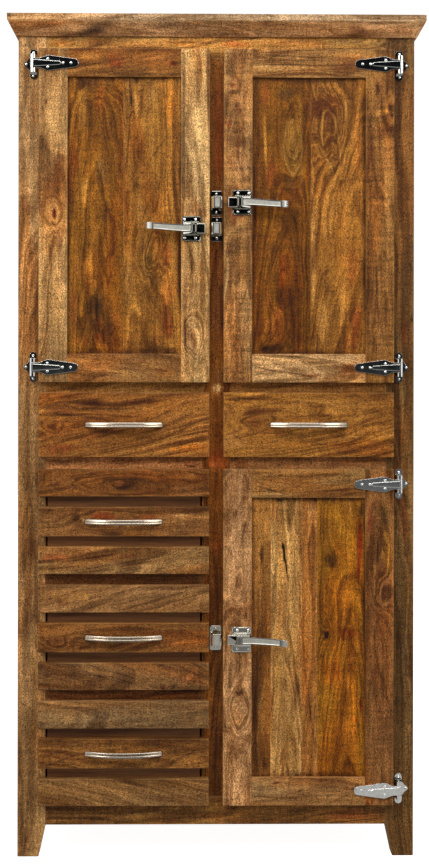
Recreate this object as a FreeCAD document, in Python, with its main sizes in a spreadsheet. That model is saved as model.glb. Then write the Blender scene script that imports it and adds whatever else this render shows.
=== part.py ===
import FreeCAD
import Part
import os
import re
import Sketcher

# A tall cabinet of solid wood with icebox hinges and lever latches.
# X runs to the right, Y from front to back and Z up. The origin is on the floor under the middle.

SIZES = {
    # Carcass, across
    "body_width": 848.0,
    "post_width": 60.0,
    "centre_post_width": 60.0,
    "partition_thickness": 18.0,
    # Carcass, front to back
    "body_depth": 375.0,
    "post_depth": 42.0,
    "front_rail_depth": 22.0,
    "back_rail_depth": 18.0,
    "back_panel_thickness": 6.0,
    "back_rebate_width": 10.0,
    # Carcass, from the floor up
    "foot_height": 68.0,
    "foot_width": 45.0,
    "bottom_rail_height": 60.0,
    "slat_opening_height": 193.0,
    "divider_height": 54.0,
    "lower_rail_height": 56.0,
    "top_drawer_opening_height": 107.5,
    "upper_rail_height": 51.5,
    "upper_opening_height": 681.0,
    "top_rail_height": 71.0,
    "top_board_thickness": 18.0,
    # Framed sides
    "side_panel_recess": 8.0,
    "side_panel_thickness": 10.0,
    "side_groove_depth": 8.0,
    "groove_clearance": 0.25,
    # Boards inside
    "deck_thickness": 15.0,
    "shelf_thickness": 18.0,
    "shelf_setback": 10.0,
    "cleat_height": 20.0,
    "cleat_width": 18.0,
    # Crown moulding
    "crown_height": 46.0,
    "crown_reach": 23.0,
    "crown_foot": 5.0,
    "crown_lip_height": 13.0,
    # Fronts that overlay the frame
    "front_overlap": 15.0,
    "front_thickness": 20.0,
    "front_gap": 1.0,
    # Framed doors
    "stile_width": 61.0,
    "door_panel_recess": 7.0,
    "door_panel_thickness": 8.0,
    "door_groove_depth": 9.0,
    # Slats of the lower drawers
    "handle_slat_height": 63.0,
    "slat_gap": 22.0,
    # Drawer boxes and their runners
    "drawer_back_gap": 32.0,
    "drawer_side_gap": 4.0,
    "drawer_lift": 10.0,
    "drawer_head_gap": 8.0,
    "box_front_thickness": 15.0,
    "box_side_thickness": 12.0,
    "drawer_bottom_thickness": 6.0,
    "drawer_bottom_rise": 8.0,
    "drawer_bottom_groove": 5.0,
    "runner_height": 24.0,
    "runner_ledge": 18.0,
    "runner_lip": 6.0,
    "runner_guide_gap": 1.0,
    "runner_gap": 0.3,
    # Bow handles
    "handle_length": 169.0,
    "handle_reach": 25.0,
    "handle_thickness": 5.0,
    "handle_height": 12.0,
    "handle_bevel": 1.8,
    # Icebox hinges
    "hinge_inset": 32.0,
    "hinge_axis_offset": 12.5,
    "barrel_radius": 6.0,
    "hinge_pin_radius": 2.5,
    "hinge_pin_clearance": 0.08,
    "knuckle_gap": 0.3,
    "lug_height": 8.5,
    "lug_foot_width": 15.0,
    "leaf_thickness": 2.5,
    "ear_width": 15.0,
    "ear_length": 13.2,
    "lobe_screw_reach": 15.5,
    "lobe_tip_radius": 5.0,
    "lobe_root_height": 30.0,
    "strap_thickness": 3.5,
    "strap_length": 97.0,
    "strap_neck_length": 15.0,
    "strap_neck_height": 20.4,
    "strap_shoulder": 33.0,
    "strap_width": 32.5,
    "strap_tip_radius": 9.0,
    "strap_flat": 6.0,
    "rib_length": 57.0,
    "rib_root_width": 14.0,
    "rib_tip_width": 7.0,
    "rib_height": 1.6,
    # Lever latches
    "latch_stagger": 28.0,
    "lower_latch_drop": 3.5,
    "case_inset": 18.3,
    "case_length": 41.0,
    "case_height": 54.0,
    "case_plate": 3.0,
    "case_bevel": 3.0,
    "case_notch": 6.0,
    "case_end_wall": 3.0,
    "housing_foot_width": 28.0,
    "housing_top_width": 21.0,
    "pivot_inset": 15.7,
    "pivot_rise": 17.5,
    "cheek_margin": 4.5,
    "latch_pin_radius": 2.0,
    "latch_clearance": 0.3,
    "lever_length": 101.3,
    "lever_height": 15.2,
    "lever_tip_height": 13.5,
    "lever_droop": 5.5,
    "lever_eye_radius": 6.8,
    "lever_reach": 30.0,
    "finger_width": 6.0,
    "finger_thickness": 3.0,
    "finger_reach": 12.0,
    "finger_tip_radius": 2.0,
    "finger_slack": 0.5,
    "slot_flare": 3.5,
    "bolt_inset": 9.5,
    "bolt_length": 29.0,
    "bolt_height": 21.0,
    "bolt_rise": 2.0,
    "bolt_thickness": 8.0,
    "bolt_bevel": 4.0,
    "spring_width": 8.0,
    "spring_thickness": 0.6,
    # Keepers on the centre post
    "keeper_gap": 3.4,
    "keeper_width": 24.5,
    "keeper_height": 52.0,
    "keeper_plate": 2.5,
    "keeper_bevel": 2.5,
    "hood_height": 25.0,
    "hood_thickness": 3.0,
    "hood_slope": 6.0,
    # One overrun serves every cut
    "overrun": 2.0,
}

# Places worked out from the sizes above
PLACES = {
    "half_width": "body_width / 2",
    "post_inner": "half_width - post_width",
    "centre_half": "centre_post_width / 2",
    "partition_half": "partition_thickness / 2",
    "front_inner": "centre_half - front_overlap",
    "front_outer": "post_inner + front_overlap",
    "side_inner": "half_width - side_panel_recess - side_panel_thickness",
    "frame_y": "(front_gap + front_thickness + lever_reach - body_depth) / 2",
    "back_y": "frame_y + body_depth",
    "front_back_y": "frame_y - front_gap",
    "front_face_y": "front_back_y - front_thickness",
    "behind_rails_y": "frame_y + front_rail_depth",
    "behind_posts_y": "frame_y + post_depth",
    "rear_posts_y": "back_y - post_depth",
    "back_panel_y": "back_y - back_panel_thickness",
    "back_rails_y": "back_panel_y - back_rail_depth",
    "box_back_y": "back_rails_y - drawer_back_gap",
    "lower_z": "foot_height + bottom_rail_height",
    "slat_pitch": "slat_opening_height + divider_height",
    "lower_top_z": "lower_z + 3 * slat_opening_height + 2 * divider_height",
    "drawers_z": "lower_top_z + lower_rail_height",
    "drawers_top_z": "drawers_z + top_drawer_opening_height",
    "upper_z": "drawers_top_z + upper_rail_height",
    "upper_top_z": "upper_z + upper_opening_height",
    "post_top_z": "upper_top_z + top_rail_height",
    "top_z": "post_top_z + top_board_thickness",
    "upper_door_low": "upper_z - front_overlap",
    "upper_door_high": "upper_top_z + front_overlap",
    "lower_door_low": "lower_z - front_overlap",
    "lower_door_high": "lower_top_z + front_overlap",
    "hinge_x": "front_outer + hinge_axis_offset",
    "strap_front_w": "front_gap + front_thickness + strap_thickness",
    "hinge_w": "strap_front_w - barrel_radius",
    "leaf_height": "2 * (ear_length + lug_height + knuckle_gap) + strap_neck_height",
    "ear_half": "ear_width / 2",
    "ear_z": "leaf_height / 2 - ear_half",
    "neck_half": "strap_neck_height / 2",
    "lug_top": "neck_half + knuckle_gap + lug_height",
    "case_end": "case_inset + case_length",
    "housing_start": "case_inset + case_notch",
    "housing_end": "case_end - case_end_wall",
    "pivot_x": "case_inset + pivot_inset",
    "bolt_top": "bolt_rise + bolt_thickness",
    "bolt_half": "bolt_height / 2",
    "bolt_end": "bolt_inset + bolt_length",
    "slot_start": "pivot_x - finger_tip_radius - finger_slack",
    "slot_end": "pivot_x + finger_tip_radius + finger_slack",
    "cheek_top": "pivot_rise + cheek_margin",
    "lever_half": "lever_height / 2",
    "keeper_top": "front_gap + front_thickness + bolt_top + latch_clearance + hood_thickness",
    "keeper_far": "-keeper_gap - keeper_width",
}

doc = FreeCAD.newDocument("tall_cabinet")
sheet = doc.addObject("Spreadsheet::Sheet", "Sizes")
for row, (alias, value) in enumerate(SIZES.items(), start=1):
    sheet.set(f"A{row}", alias)
    sheet.set(f"B{row}", str(value))
    sheet.setAlias(f"B{row}", alias)
doc.recompute()

WORD = re.compile(r"[a-z][a-z_]+")
nodes = []


def formula(text):
    """Write a formula in the cells of the sheet, with every named place worked out."""
    def cell(found):
        word = found.group()
        if word in PLACES:
            return "(" + formula(PLACES[word]) + ")"
        return "Sizes." + word if word in SIZES else word
    return WORD.sub(cell, text)


def number(text):
    """The value of a formula in millimetres."""
    return float(sheet.evalExpression(formula(text)))


def bind(thing, field, text):
    thing.setExpression(field, formula(text))


def place(thing, x="0", y="0", z="0"):
    for axis, text in zip("xyz", (x, y, z)):
        bind(thing, f"Placement.Base.{axis}", text)
    return thing


def board(name, x, y, z):
    """A squared board between two places on each axis."""
    box = doc.addObject("Part::Box", name)
    for field, (low, high) in zip(("Length", "Width", "Height"), (x, y, z)):
        bind(box, field, f"({high}) - ({low})")
    return place(box, x[0], y[0], z[0])


TURNS = {
    "x": FreeCAD.Rotation(FreeCAD.Vector(0, 1, 0), 90),
    "y": FreeCAD.Rotation(FreeCAD.Vector(1, 0, 0), -90),
    "z": FreeCAD.Rotation(),
}


def rod(name, along, radius, start, length):
    """A round rod along one axis, from its start point."""
    cylinder = doc.addObject("Part::Cylinder", name)
    cylinder.Placement = FreeCAD.Placement(FreeCAD.Vector(), TURNS[along])
    bind(cylinder, "Radius", radius)
    bind(cylinder, "Height", length)
    return place(cylinder, *start)


PLANES = {"x": "YZ_Plane", "y": "XZ_Plane", "z": "XY_Plane"}


def prism(name, along, corners, low, high):
    """A sketched outline, in the two other axes, padded along one axis."""
    body = doc.addObject("PartDesign::Body", name)
    plane = [item for item in body.Origin.OriginFeatures if item.Role == PLANES[along]][0]
    sketch = body.newObject("Sketcher::SketchObject", name + "_outline")
    sketch.AttachmentSupport = [(plane, "")]
    sketch.MapMode = "FlatFace"
    spots = [FreeCAD.Vector(number(across), number(up), 0) for across, up in corners]
    lines = [Part.LineSegment(a, b) for a, b in zip(spots, spots[1:] + spots[:1])]
    sketch.addGeometry(lines, False)
    count = len(corners)
    joins = [Sketcher.Constraint("Coincident", i, 2, (i + 1) % count, 1) for i in range(count)]
    sketch.addConstraint(joins)
    for i, (spot, texts) in enumerate(zip(spots, corners)):
        across, up = (("DistanceX", -2, spot.x, texts[0]), ("DistanceY", -1, spot.y, texts[1]))
        for kind, axis_line, at, text in (across, up):
            if text == "0":
                sketch.addConstraint(Sketcher.Constraint("PointOnObject", i, 1, axis_line))
                continue
            index = sketch.addConstraint(Sketcher.Constraint(kind, -1, 1, i, 1, at))
            sketch.setExpression(f"Constraints[{index}]", formula(text))
    pad = body.newObject("PartDesign::Pad", name + "_pad")
    pad.Profile = sketch
    bind(pad, "Length", f"({high}) - ({low})")
    pad.Reversed = along == "y"
    place(body, **{along: low})
    return body


def fuse(name, pieces):
    whole = doc.addObject("Part::MultiFuse", name)
    whole.Shapes = pieces
    whole.Refine = True
    return whole


def common(name, pieces):
    shared = doc.addObject("Part::MultiCommon", name)
    shared.Shapes = pieces
    return shared


def together(name, pieces):
    group = doc.addObject("Part::Compound", name)
    group.Links = pieces
    return group


def cut(name, base, tools):
    """The base without the tools."""
    left = doc.addObject("Part::Cut", name)
    left.Base = base
    left.Tool = tools[0] if len(tools) == 1 else together(name + "_tools", tools)
    return left


def mirrored(name, source):
    """The same piece on the other side of the cabinet."""
    copy = doc.addObject("Part::Mirroring", name)
    copy.Source = source
    copy.Normal = FreeCAD.Vector(1, 0, 0)
    return copy


def copy_at(name, source, x, y, z, turned=False):
    """The same piece at another place, upside down if it is turned."""
    link = doc.addObject("App::Link", name)
    link.LinkedObject = source
    link.LinkTransform = True
    if turned:
        link.Placement = FreeCAD.Placement(FreeCAD.Vector(), FreeCAD.Rotation(FreeCAD.Vector(0, 1, 0), 180))
    return place(link, x, y, z)


def node(label, pieces):
    """A named sub-part, written to a file of its own."""
    part = together(label, pieces)
    part.Label = label
    nodes.append(part)
    return part


def both_sides(label, pieces):
    """A sub-part with a piece or group on the left and its mirror image on the right."""
    left = together(label + "_left", pieces)
    return node(label, [left, mirrored(label + "_right", left)])


# Posts: square legs from the floor to the top board, tapered on the inside at the foot

def post(name, y_low, y_high, groove_low, groove_high):
    outline = [
        ("-half_width", "0"),
        ("foot_width - half_width", "0"),
        ("-post_inner", "foot_height"),
        ("-post_inner", "post_top_z"),
        ("-half_width", "post_top_z"),
    ]
    leg = prism(name + "_leg", "y", outline, y_low, y_high)
    panel_side = ("side_panel_recess - half_width", "-side_inner")
    groove = board(name + "_groove", panel_side, (groove_low, groove_high), ("foot_height", "post_top_z"))
    return leg, groove


leg, groove = post("front_post", "frame_y", "behind_posts_y",
                   "behind_posts_y - side_groove_depth", "behind_posts_y + overrun")
both_sides("front_posts", [cut("front_post", leg, [groove])])

leg, groove = post("rear_post", "rear_posts_y", "back_y",
                   "rear_posts_y - overrun", "rear_posts_y + side_groove_depth")
rebate = board("rear_post_rebate", ("-post_inner - back_rebate_width", "-post_inner + overrun"),
               ("back_panel_y", "back_y + overrun"), ("foot_height", "post_top_z"))
both_sides("rear_posts", [cut("rear_post", leg, [groove, rebate])])

# Face frame: rails between the posts, the centre post and the dividers of the slatted drawers

RAIL_Y = ("frame_y", "behind_rails_y")
CENTRE_X = ("-centre_half", "centre_half")
LEFT_X = ("-post_inner", "-centre_half")
node("centre_post", [board("centre_stile", CENTRE_X, RAIL_Y, ("lower_z", "upper_top_z"))])

full_rails = [
    board("bottom_rail", ("-post_inner", "post_inner"), RAIL_Y, ("foot_height", "lower_z")),
    board("top_rail", ("-post_inner", "post_inner"), RAIL_Y, ("upper_top_z", "post_top_z")),
]
split_rails = together("left_rails", [
    board("lower_left_rail", LEFT_X, RAIL_Y, ("lower_top_z", "drawers_z")),
    board("upper_left_rail", LEFT_X, RAIL_Y, ("drawers_top_z", "upper_z")),
])
node("front_rails", full_rails + [split_rails, mirrored("right_rails", split_rails)])

dividers = []
for level in range(1, 3):
    low = f"lower_z + {level} * slat_pitch - divider_height"
    dividers.append(board(f"divider_{level}", LEFT_X, RAIL_Y, (low, low + " + divider_height")))
node("drawer_dividers", dividers)

# Framed sides: rails with tongues in the grooves of the posts, and panels that float between them

RAIL_LEVELS = {
    "bottom": ("foot_height", "lower_z"),
    "middle": ("drawers_top_z", "upper_z"),
    "top": ("upper_top_z", "post_top_z"),
}
side_rails = []
for level, (low, high) in RAIL_LEVELS.items():
    name = f"side_{level}_rail"
    bar = board(name + "_bar", ("-half_width", "-side_inner"),
                ("behind_posts_y", "rear_posts_y"), (low, high))
    tongue = board(name + "_tongue", ("side_panel_recess + groove_clearance - half_width", "-side_inner"),
                   ("behind_posts_y - side_groove_depth + groove_clearance",
                    "rear_posts_y + side_groove_depth - groove_clearance"), (low, high))
    grooves = []
    if level != "top":
        grooves.append((high + " - side_groove_depth", high + " + overrun"))
    if level != "bottom":
        grooves.append((low + " - overrun", low + " + side_groove_depth"))
    tools = [board(f"{name}_groove_{i}", ("side_panel_recess - half_width", "-side_inner + overrun"),
                   ("frame_y", "back_y"), heights) for i, heights in enumerate(grooves)]
    side_rails.append(cut(name, fuse(name + "_blank", [bar, tongue]), tools))
both_sides("side_rails", side_rails)

side_panels = []
for name, low, high in (("lower", "lower_z", "drawers_top_z"), ("upper", "upper_z", "upper_top_z")):
    side_panels.append(board(
        f"{name}_side_panel",
        ("side_panel_recess + groove_clearance - half_width", "-side_inner"),
        ("behind_posts_y - side_groove_depth + groove_clearance",
         "rear_posts_y + side_groove_depth - groove_clearance"),
        (low + " - side_groove_depth + groove_clearance", high + " + side_groove_depth - groove_clearance")))
both_sides("side_panels", side_panels)

# Back: rails between the rear posts, with two thin panels planted on them in the rebates of the posts

back_rails = []
BACK_LEVELS = {**RAIL_LEVELS, "lower": ("lower_top_z", "drawers_z")}
for level, heights in BACK_LEVELS.items():
    back_rails.append(board(f"back_{level}_rail", ("-post_inner", "post_inner"),
                            ("back_rails_y", "back_panel_y"), heights))
node("back_rails", back_rails)

BACK_X = ("-post_inner - back_rebate_width", "post_inner + back_rebate_width")
BACK_SPLIT = "(drawers_top_z + upper_z) / 2"
node("back_panels", [
    board("lower_back_panel", BACK_X, ("back_panel_y", "back_y"), ("foot_height", BACK_SPLIT)),
    board("upper_back_panel", BACK_X, ("back_panel_y", "back_y"), (BACK_SPLIT, "post_top_z")),
])

# Boards inside, notched round the posts where they reach them


def notched(name, x, y, z, sides, ends=("front", "rear")):
    """A board as wide as the framed sides, with its corners cut away for the posts."""
    reaches = {
        "front": (f"{y[0]} - overrun", "behind_posts_y"),
        "rear": ("rear_posts_y", f"{y[1]} + overrun"),
    }
    edges = {
        "left": ("-side_inner - overrun", "-post_inner"),
        "right": ("post_inner", "side_inner + overrun"),
    }
    corners = [board(f"{name}_{side}_{end}_notch", edges[side], reaches[end], z)
               for side in sides for end in ends]
    return cut(name, board(name + "_blank", x, y, z), corners)


WIDE = ("-side_inner", "side_inner")
DECK_Y = ("behind_rails_y", "back_rails_y")
SHELF_Y = ("behind_posts_y + shelf_setback", "back_panel_y")
BOTH = ("left", "right")

node("bottom_board", [notched("floor_board", WIDE, DECK_Y, ("lower_z - deck_thickness", "lower_z"), BOTH)])
LOWER_DECK = ("lower_top_z", "lower_top_z + deck_thickness")
UPPER_DECK = ("upper_z - deck_thickness", "upper_z")
node("deck_boards", [
    notched("lower_deck", WIDE, DECK_Y, LOWER_DECK, BOTH),
    notched("upper_deck", WIDE, DECK_Y, UPPER_DECK, BOTH),
])

upper_shelves = []
shelf_lows = []
for level in (1, 2):
    low = f"upper_z + {level} * (upper_opening_height + shelf_thickness) / 3 - shelf_thickness"
    shelf_lows.append(low)
    upper_shelves.append(notched(f"upper_shelf_{level}", WIDE, SHELF_Y, (low, low + " + shelf_thickness"),
                                 BOTH, ("rear",)))
node("upper_shelves", upper_shelves)

lower_shelf_low = "(lower_z + lower_top_z - shelf_thickness) / 2"
node("lower_shelf", [notched("cupboard_shelf", ("partition_half", "side_inner"), SHELF_Y,
                             (lower_shelf_low, lower_shelf_low + " + shelf_thickness"),
                             ("right",), ("rear",))])

PARTITION_X = ("-partition_half", "partition_half")
node("centre_partitions", [
    board("lower_partition", PARTITION_X, DECK_Y, ("lower_z", "lower_top_z")),
    board("upper_partition", PARTITION_X, DECK_Y,
          ("lower_top_z + deck_thickness", "upper_z - deck_thickness")),
])

CLEAT_Y = ("behind_posts_y", "rear_posts_y")


def cleat(name, x, board_low):
    """A strip that carries the board above it."""
    return board(name, x, CLEAT_Y, (board_low + " - cleat_height", board_low))


carried = ["lower_z - deck_thickness", "lower_top_z"] + shelf_lows
side_cleats = together("left_cleats", [
    cleat(f"left_cleat_{i}", ("-side_inner", "cleat_width - side_inner"), low)
    for i, low in enumerate(carried)])
node("shelf_cleats", [
    side_cleats,
    mirrored("right_cleats", side_cleats),
    cleat("cupboard_side_cleat", ("side_inner - cleat_width", "side_inner"), lower_shelf_low),
    cleat("cupboard_partition_cleat", ("partition_half", "partition_half + cleat_width"), lower_shelf_low),
])

node("top_board", [
    board("lid_board", ("-half_width", "half_width"), ("frame_y", "back_y"), ("post_top_z", "top_z"))])

# Crown moulding: one length across the front and two along the sides, mitred at the corners

CROWN = [
    ("0", "0"),
    ("crown_foot", "0"),
    ("crown_reach", "crown_height - crown_lip_height"),
    ("crown_reach", "crown_height"),
    ("0", "crown_height"),
]
CROWN_LOW = "top_z - crown_height"
front_run = prism("crown_front_run", "x", [
    (f"frame_y - ({out})", f"{CROWN_LOW} + {up}") for out, up in CROWN
], "-half_width - crown_reach", "half_width + crown_reach")
front_mitre = prism("crown_front_mitre", "z", [
    ("-half_width", "frame_y"),
    ("-half_width - crown_reach", "frame_y - crown_reach"),
    ("half_width + crown_reach", "frame_y - crown_reach"),
    ("half_width", "frame_y"),
], CROWN_LOW, "top_z")
side_run = prism("crown_side_run", "y", [
    (f"-half_width - ({out})", f"{CROWN_LOW} + {up}") for out, up in CROWN
], "frame_y - crown_reach", "back_y")
side_mitre = prism("crown_side_mitre", "z", [
    ("-half_width", "frame_y"),
    ("-half_width - crown_reach", "frame_y - crown_reach"),
    ("-half_width - crown_reach", "back_y"),
    ("-half_width", "back_y"),
], CROWN_LOW, "top_z")
crown_side = common("crown_side", [side_run, side_mitre])
node("crown_moulding", [common("crown_front", [front_run, front_mitre]), crown_side,
                        mirrored("crown_right_side", crown_side)])

# Doors: stiles and rails with a floating panel


def door(name, x, z):
    """Two grooved stiles, two rails with tongues, and a panel held in the grooves."""
    inner = (f"{x[0]} + stile_width", f"{x[1]} - stile_width")
    depth = ("front_face_y", "front_back_y")
    slot = ("front_face_y + door_panel_recess", "front_face_y + door_panel_recess + door_panel_thickness")
    tongue_y = (slot[0] + " + groove_clearance", slot[1] + " - groove_clearance")
    held_x = (inner[0] + " - door_groove_depth + groove_clearance",
              inner[1] + " + door_groove_depth - groove_clearance")
    pieces = []
    for side, edges, groove_x in (
            ("left", (x[0], inner[0]), (inner[0] + " - door_groove_depth", inner[0] + " + overrun")),
            ("right", (inner[1], x[1]), (inner[1] + " - overrun", inner[1] + " + door_groove_depth"))):
        stile = board(f"{name}_{side}_stile_blank", edges, depth, z)
        pieces.append(cut(f"{name}_{side}_stile", stile, [board(f"{name}_{side}_groove", groove_x, slot, z)]))
    low_edge, high_edge = f"{z[0]} + stile_width", f"{z[1]} - stile_width"
    for end, rail_z, groove_z in (
            ("bottom", (z[0], low_edge), (low_edge + " - door_groove_depth", low_edge + " + overrun")),
            ("top", (high_edge, z[1]), (high_edge + " - overrun", high_edge + " + door_groove_depth"))):
        blank = fuse(f"{name}_{end}_rail_blank", [
            board(f"{name}_{end}_rail_bar", inner, depth, rail_z),
            board(f"{name}_{end}_rail_tongue", held_x, tongue_y, rail_z),
        ])
        groove = board(f"{name}_{end}_rail_groove", x, slot, groove_z)
        pieces.append(cut(f"{name}_{end}_rail", blank, [groove]))
    held_z = (low_edge + " - door_groove_depth + groove_clearance",
              high_edge + " + door_groove_depth - groove_clearance")
    return together(name + "_frame_pieces", pieces), board(name + "_panel_board", held_x, tongue_y, held_z)


UPPER_DOOR_Z = ("upper_door_low", "upper_door_high")
LOWER_DOOR_Z = ("lower_door_low", "lower_door_high")
left_frame, left_panel = door("upper_door", ("-front_outer", "-front_inner"), UPPER_DOOR_Z)
lower_frame, lower_panel = door("lower_door", ("front_inner", "front_outer"), LOWER_DOOR_Z)
node("upper_left_door_frame", [left_frame])
node("upper_left_door_panel", [left_panel])
node("upper_right_door_frame", [mirrored("right_frame", left_frame)])
node("upper_right_door_panel", [mirrored("right_panel", left_panel)])
node("lower_door_frame", [lower_frame])
node("lower_door_panel", [lower_panel])

# Drawers: a five-piece box with a planted front, on rebated runners

handle_ring = "(handle_length * handle_length / 4 + handle_reach * handle_reach) / (2 * handle_reach)"
handle_blank = cut("handle_blank", rod("handle_disc", "z", handle_ring, (
    "0", f"{handle_ring} - handle_reach", "-handle_height / 2"), "handle_height"), [
    rod("handle_inside", "z", f"{handle_ring} - handle_thickness", (
        "0", f"{handle_ring} - handle_reach", "-handle_height / 2 - overrun"), "handle_height + 2 * overrun"),
    board("handle_behind", (f"-{handle_ring} - overrun", f"{handle_ring} + overrun"),
          ("0", f"2 * {handle_ring} + overrun"), ("-handle_height", "handle_height")),
])


def drawer(name, x, z, height, runner_floor):
    """The box of one drawer in its opening, and the two runners that carry it."""
    box_x = (f"{x[0]} + drawer_side_gap", f"{x[1]} - drawer_side_gap")
    box_z = (f"{z} + drawer_lift", f"{z} + {height} - drawer_head_gap")
    front_y = ("front_back_y", "front_back_y + box_front_thickness")
    side_y = (front_y[1], "box_back_y")
    back_y = ("box_back_y - box_side_thickness", "box_back_y")
    inside_x = (box_x[0] + " + box_side_thickness", box_x[1] + " - box_side_thickness")
    floor_z = (box_z[0] + " + drawer_bottom_rise",
               box_z[0] + " + drawer_bottom_rise + drawer_bottom_thickness")
    slot_z = (floor_z[0] + " - groove_clearance", floor_z[1] + " + groove_clearance")
    slot_y = (front_y[1] + " - drawer_bottom_groove", side_y[1])
    slot_x = (inside_x[0] + " - drawer_bottom_groove", inside_x[1] + " + drawer_bottom_groove")
    slot = board(name + "_slot", slot_x, (slot_y[0], slot_y[1] + " + overrun"), slot_z)
    walls = {
        "front": (box_x, front_y),
        "left": ((box_x[0], inside_x[0]), side_y),
        "right": ((inside_x[1], box_x[1]), side_y),
    }
    pieces = [
        cut(f"{name}_box_{wall}", board(f"{name}_box_{wall}_blank", across, depth, box_z), [slot])
        for wall, (across, depth) in walls.items()]
    pieces += [
        board(name + "_box_back", inside_x, back_y, (slot_z[1], box_z[1])),
        board(name + "_box_bottom", (slot_x[0] + " + groove_clearance", slot_x[1] + " - groove_clearance"),
              (slot_y[0] + " + groove_clearance", slot_y[1]), floor_z),
    ]
    bearing = box_z[0] + " - runner_gap"
    runner_z = (runner_floor or bearing + " - runner_height", bearing + " + runner_lip")
    runners = []
    for side, runner_x, rebate_x in (
            ("outer", ("-post_inner", box_x[0] + " + runner_ledge"),
             (box_x[0] + " - runner_guide_gap", box_x[0] + " + runner_ledge + overrun")),
            ("inner", (box_x[1] + " - runner_ledge", "-partition_half"),
             (box_x[1] + " - runner_ledge - overrun", box_x[1] + " + runner_guide_gap"))):
        blank = board(f"{name}_{side}_runner_blank", runner_x, DECK_Y, runner_z)
        rebate_z = (bearing, runner_z[1] + " + overrun")
        runners.append(cut(f"{name}_{side}_runner", blank,
                           [board(f"{name}_{side}_rebate", rebate_x, ("frame_y", "back_y"), rebate_z)]))
    return together(name + "_box_pieces", pieces), runners


FRONT_X = ("-front_outer", "-front_inner")
FRONT_Y = ("front_face_y", "front_back_y")
HANDLE_X = "-(front_outer + front_inner) / 2"
doc.recompute()
handle = doc.addObject("Part::Chamfer", "bow_handle")
handle.Base = handle_blank
outer_radius = number(handle_ring)
bevel = number("handle_bevel")
front_edges = [
    i for i, edge in enumerate(handle_blank.Shape.Edges, start=1)
    if edge.Curve.TypeId == "Part::GeomCircle" and abs(edge.Curve.Radius - outer_radius) < bevel]
handle.Edges = [(i, bevel, bevel) for i in front_edges]

top_box, top_runners = drawer("top_drawer", LEFT_X, "drawers_z", "top_drawer_opening_height", None)
top_front = board("top_drawer_front_board", FRONT_X, FRONT_Y,
                  ("drawers_z - front_overlap", "drawers_top_z + front_overlap"))
top_handle = together("top_drawer_bow", [
    copy_at("top_drawer_bow_copy", handle, HANDLE_X, "front_face_y", "(drawers_z + drawers_top_z) / 2")])
for side in ("left", "right"):
    for label, source in (("front", top_front), ("box", top_box), ("handle", top_handle)):
        piece = source if side == "left" else mirrored(f"right_top_{label}", source)
        node(f"top_{side}_drawer_{label}", [piece])

slat_runners = []
for level, label in enumerate(("bottom", "middle", "upper")):
    low = f"lower_z + {level} * slat_pitch" if level else "lower_z"
    box, runners = drawer(f"{label}_drawer", LEFT_X, low, "slat_opening_height", None if level else "lower_z")
    slat_runners += runners
    front_low = f"{low} - front_overlap"
    front_high = f"{low} + slat_opening_height + front_overlap"
    middle = f"{low} + slat_opening_height / 2"
    slats = [
        (front_low, f"{middle} - handle_slat_height / 2 - slat_gap"),
        (f"{middle} - handle_slat_height / 2", f"{middle} + handle_slat_height / 2"),
        (f"{middle} + handle_slat_height / 2 + slat_gap", front_high),
    ]
    node(f"{label}_slat_drawer_front", [
        board(f"{label}_slat_{i}", FRONT_X, FRONT_Y, heights) for i, heights in enumerate(slats, start=1)])
    node(f"{label}_slat_drawer_box", [box])
    node(f"{label}_slat_drawer_handle", [copy_at(f"{label}_bow", handle, HANDLE_X, "front_face_y", middle)])

top_runner_pair = together("left_top_runners", top_runners)
node("drawer_runners", slat_runners + [top_runner_pair, mirrored("right_top_runners", top_runner_pair)])

# Icebox hinge, on the left of a door, with the axis of its pin at X 0 and the frame behind it at Y 0

leaf_y = ("-leaf_thickness", "0")
ears = [board("leaf_plate", ("-ear_half", "ear_half"), leaf_y, ("-ear_z", "ear_z"))]
for end, up in (("top", "ear_z"), ("bottom", "-ear_z")):
    ears.append(rod(f"leaf_{end}_ear", "y", "ear_half", ("0", "-leaf_thickness", up), "leaf_thickness"))
lobe = prism("leaf_lobe", "y", [
    ("-ear_half", "lobe_root_height / 2"),
    ("-lobe_screw_reach", "lobe_tip_radius"),
    ("-lobe_screw_reach", "-lobe_tip_radius"),
    ("-ear_half", "-lobe_root_height / 2"),
], *leaf_y)
lobe_tip = rod("leaf_lobe_tip", "y", "lobe_tip_radius", ("-lobe_screw_reach", "-leaf_thickness", "0"),
               "leaf_thickness")
lug = prism("leaf_lugs", "z", [
    ("-lug_foot_width / 2", "-leaf_thickness"),
    ("-barrel_radius", "-hinge_w"),
    ("barrel_radius", "-hinge_w"),
    ("lug_foot_width / 2", "-leaf_thickness"),
], "-lug_top", "lug_top")
lug_barrel = rod("leaf_barrel", "z", "barrel_radius", ("0", "-hinge_w", "-lug_top"), "2 * lug_top")
knuckle_room = board("leaf_knuckle_room", ("-lug_foot_width", "lug_foot_width"),
                     ("-hinge_w - barrel_radius - overrun", "-leaf_thickness"),
                     ("-neck_half - knuckle_gap", "neck_half + knuckle_gap"))
leaf_bore = rod("leaf_bore", "z", "hinge_pin_radius", ("0", "-hinge_w", "-lug_top - overrun"),
                "2 * (lug_top + overrun)")
hinge_leaf = cut("hinge_leaf", fuse("leaf_casting", ears + [lobe, lobe_tip, lug, lug_barrel]),
                 [knuckle_room, leaf_bore])
hinge_pin = rod("hinge_pin", "z", "hinge_pin_radius", ("0", "-hinge_w", "-lug_top"), "2 * lug_top")

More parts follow.
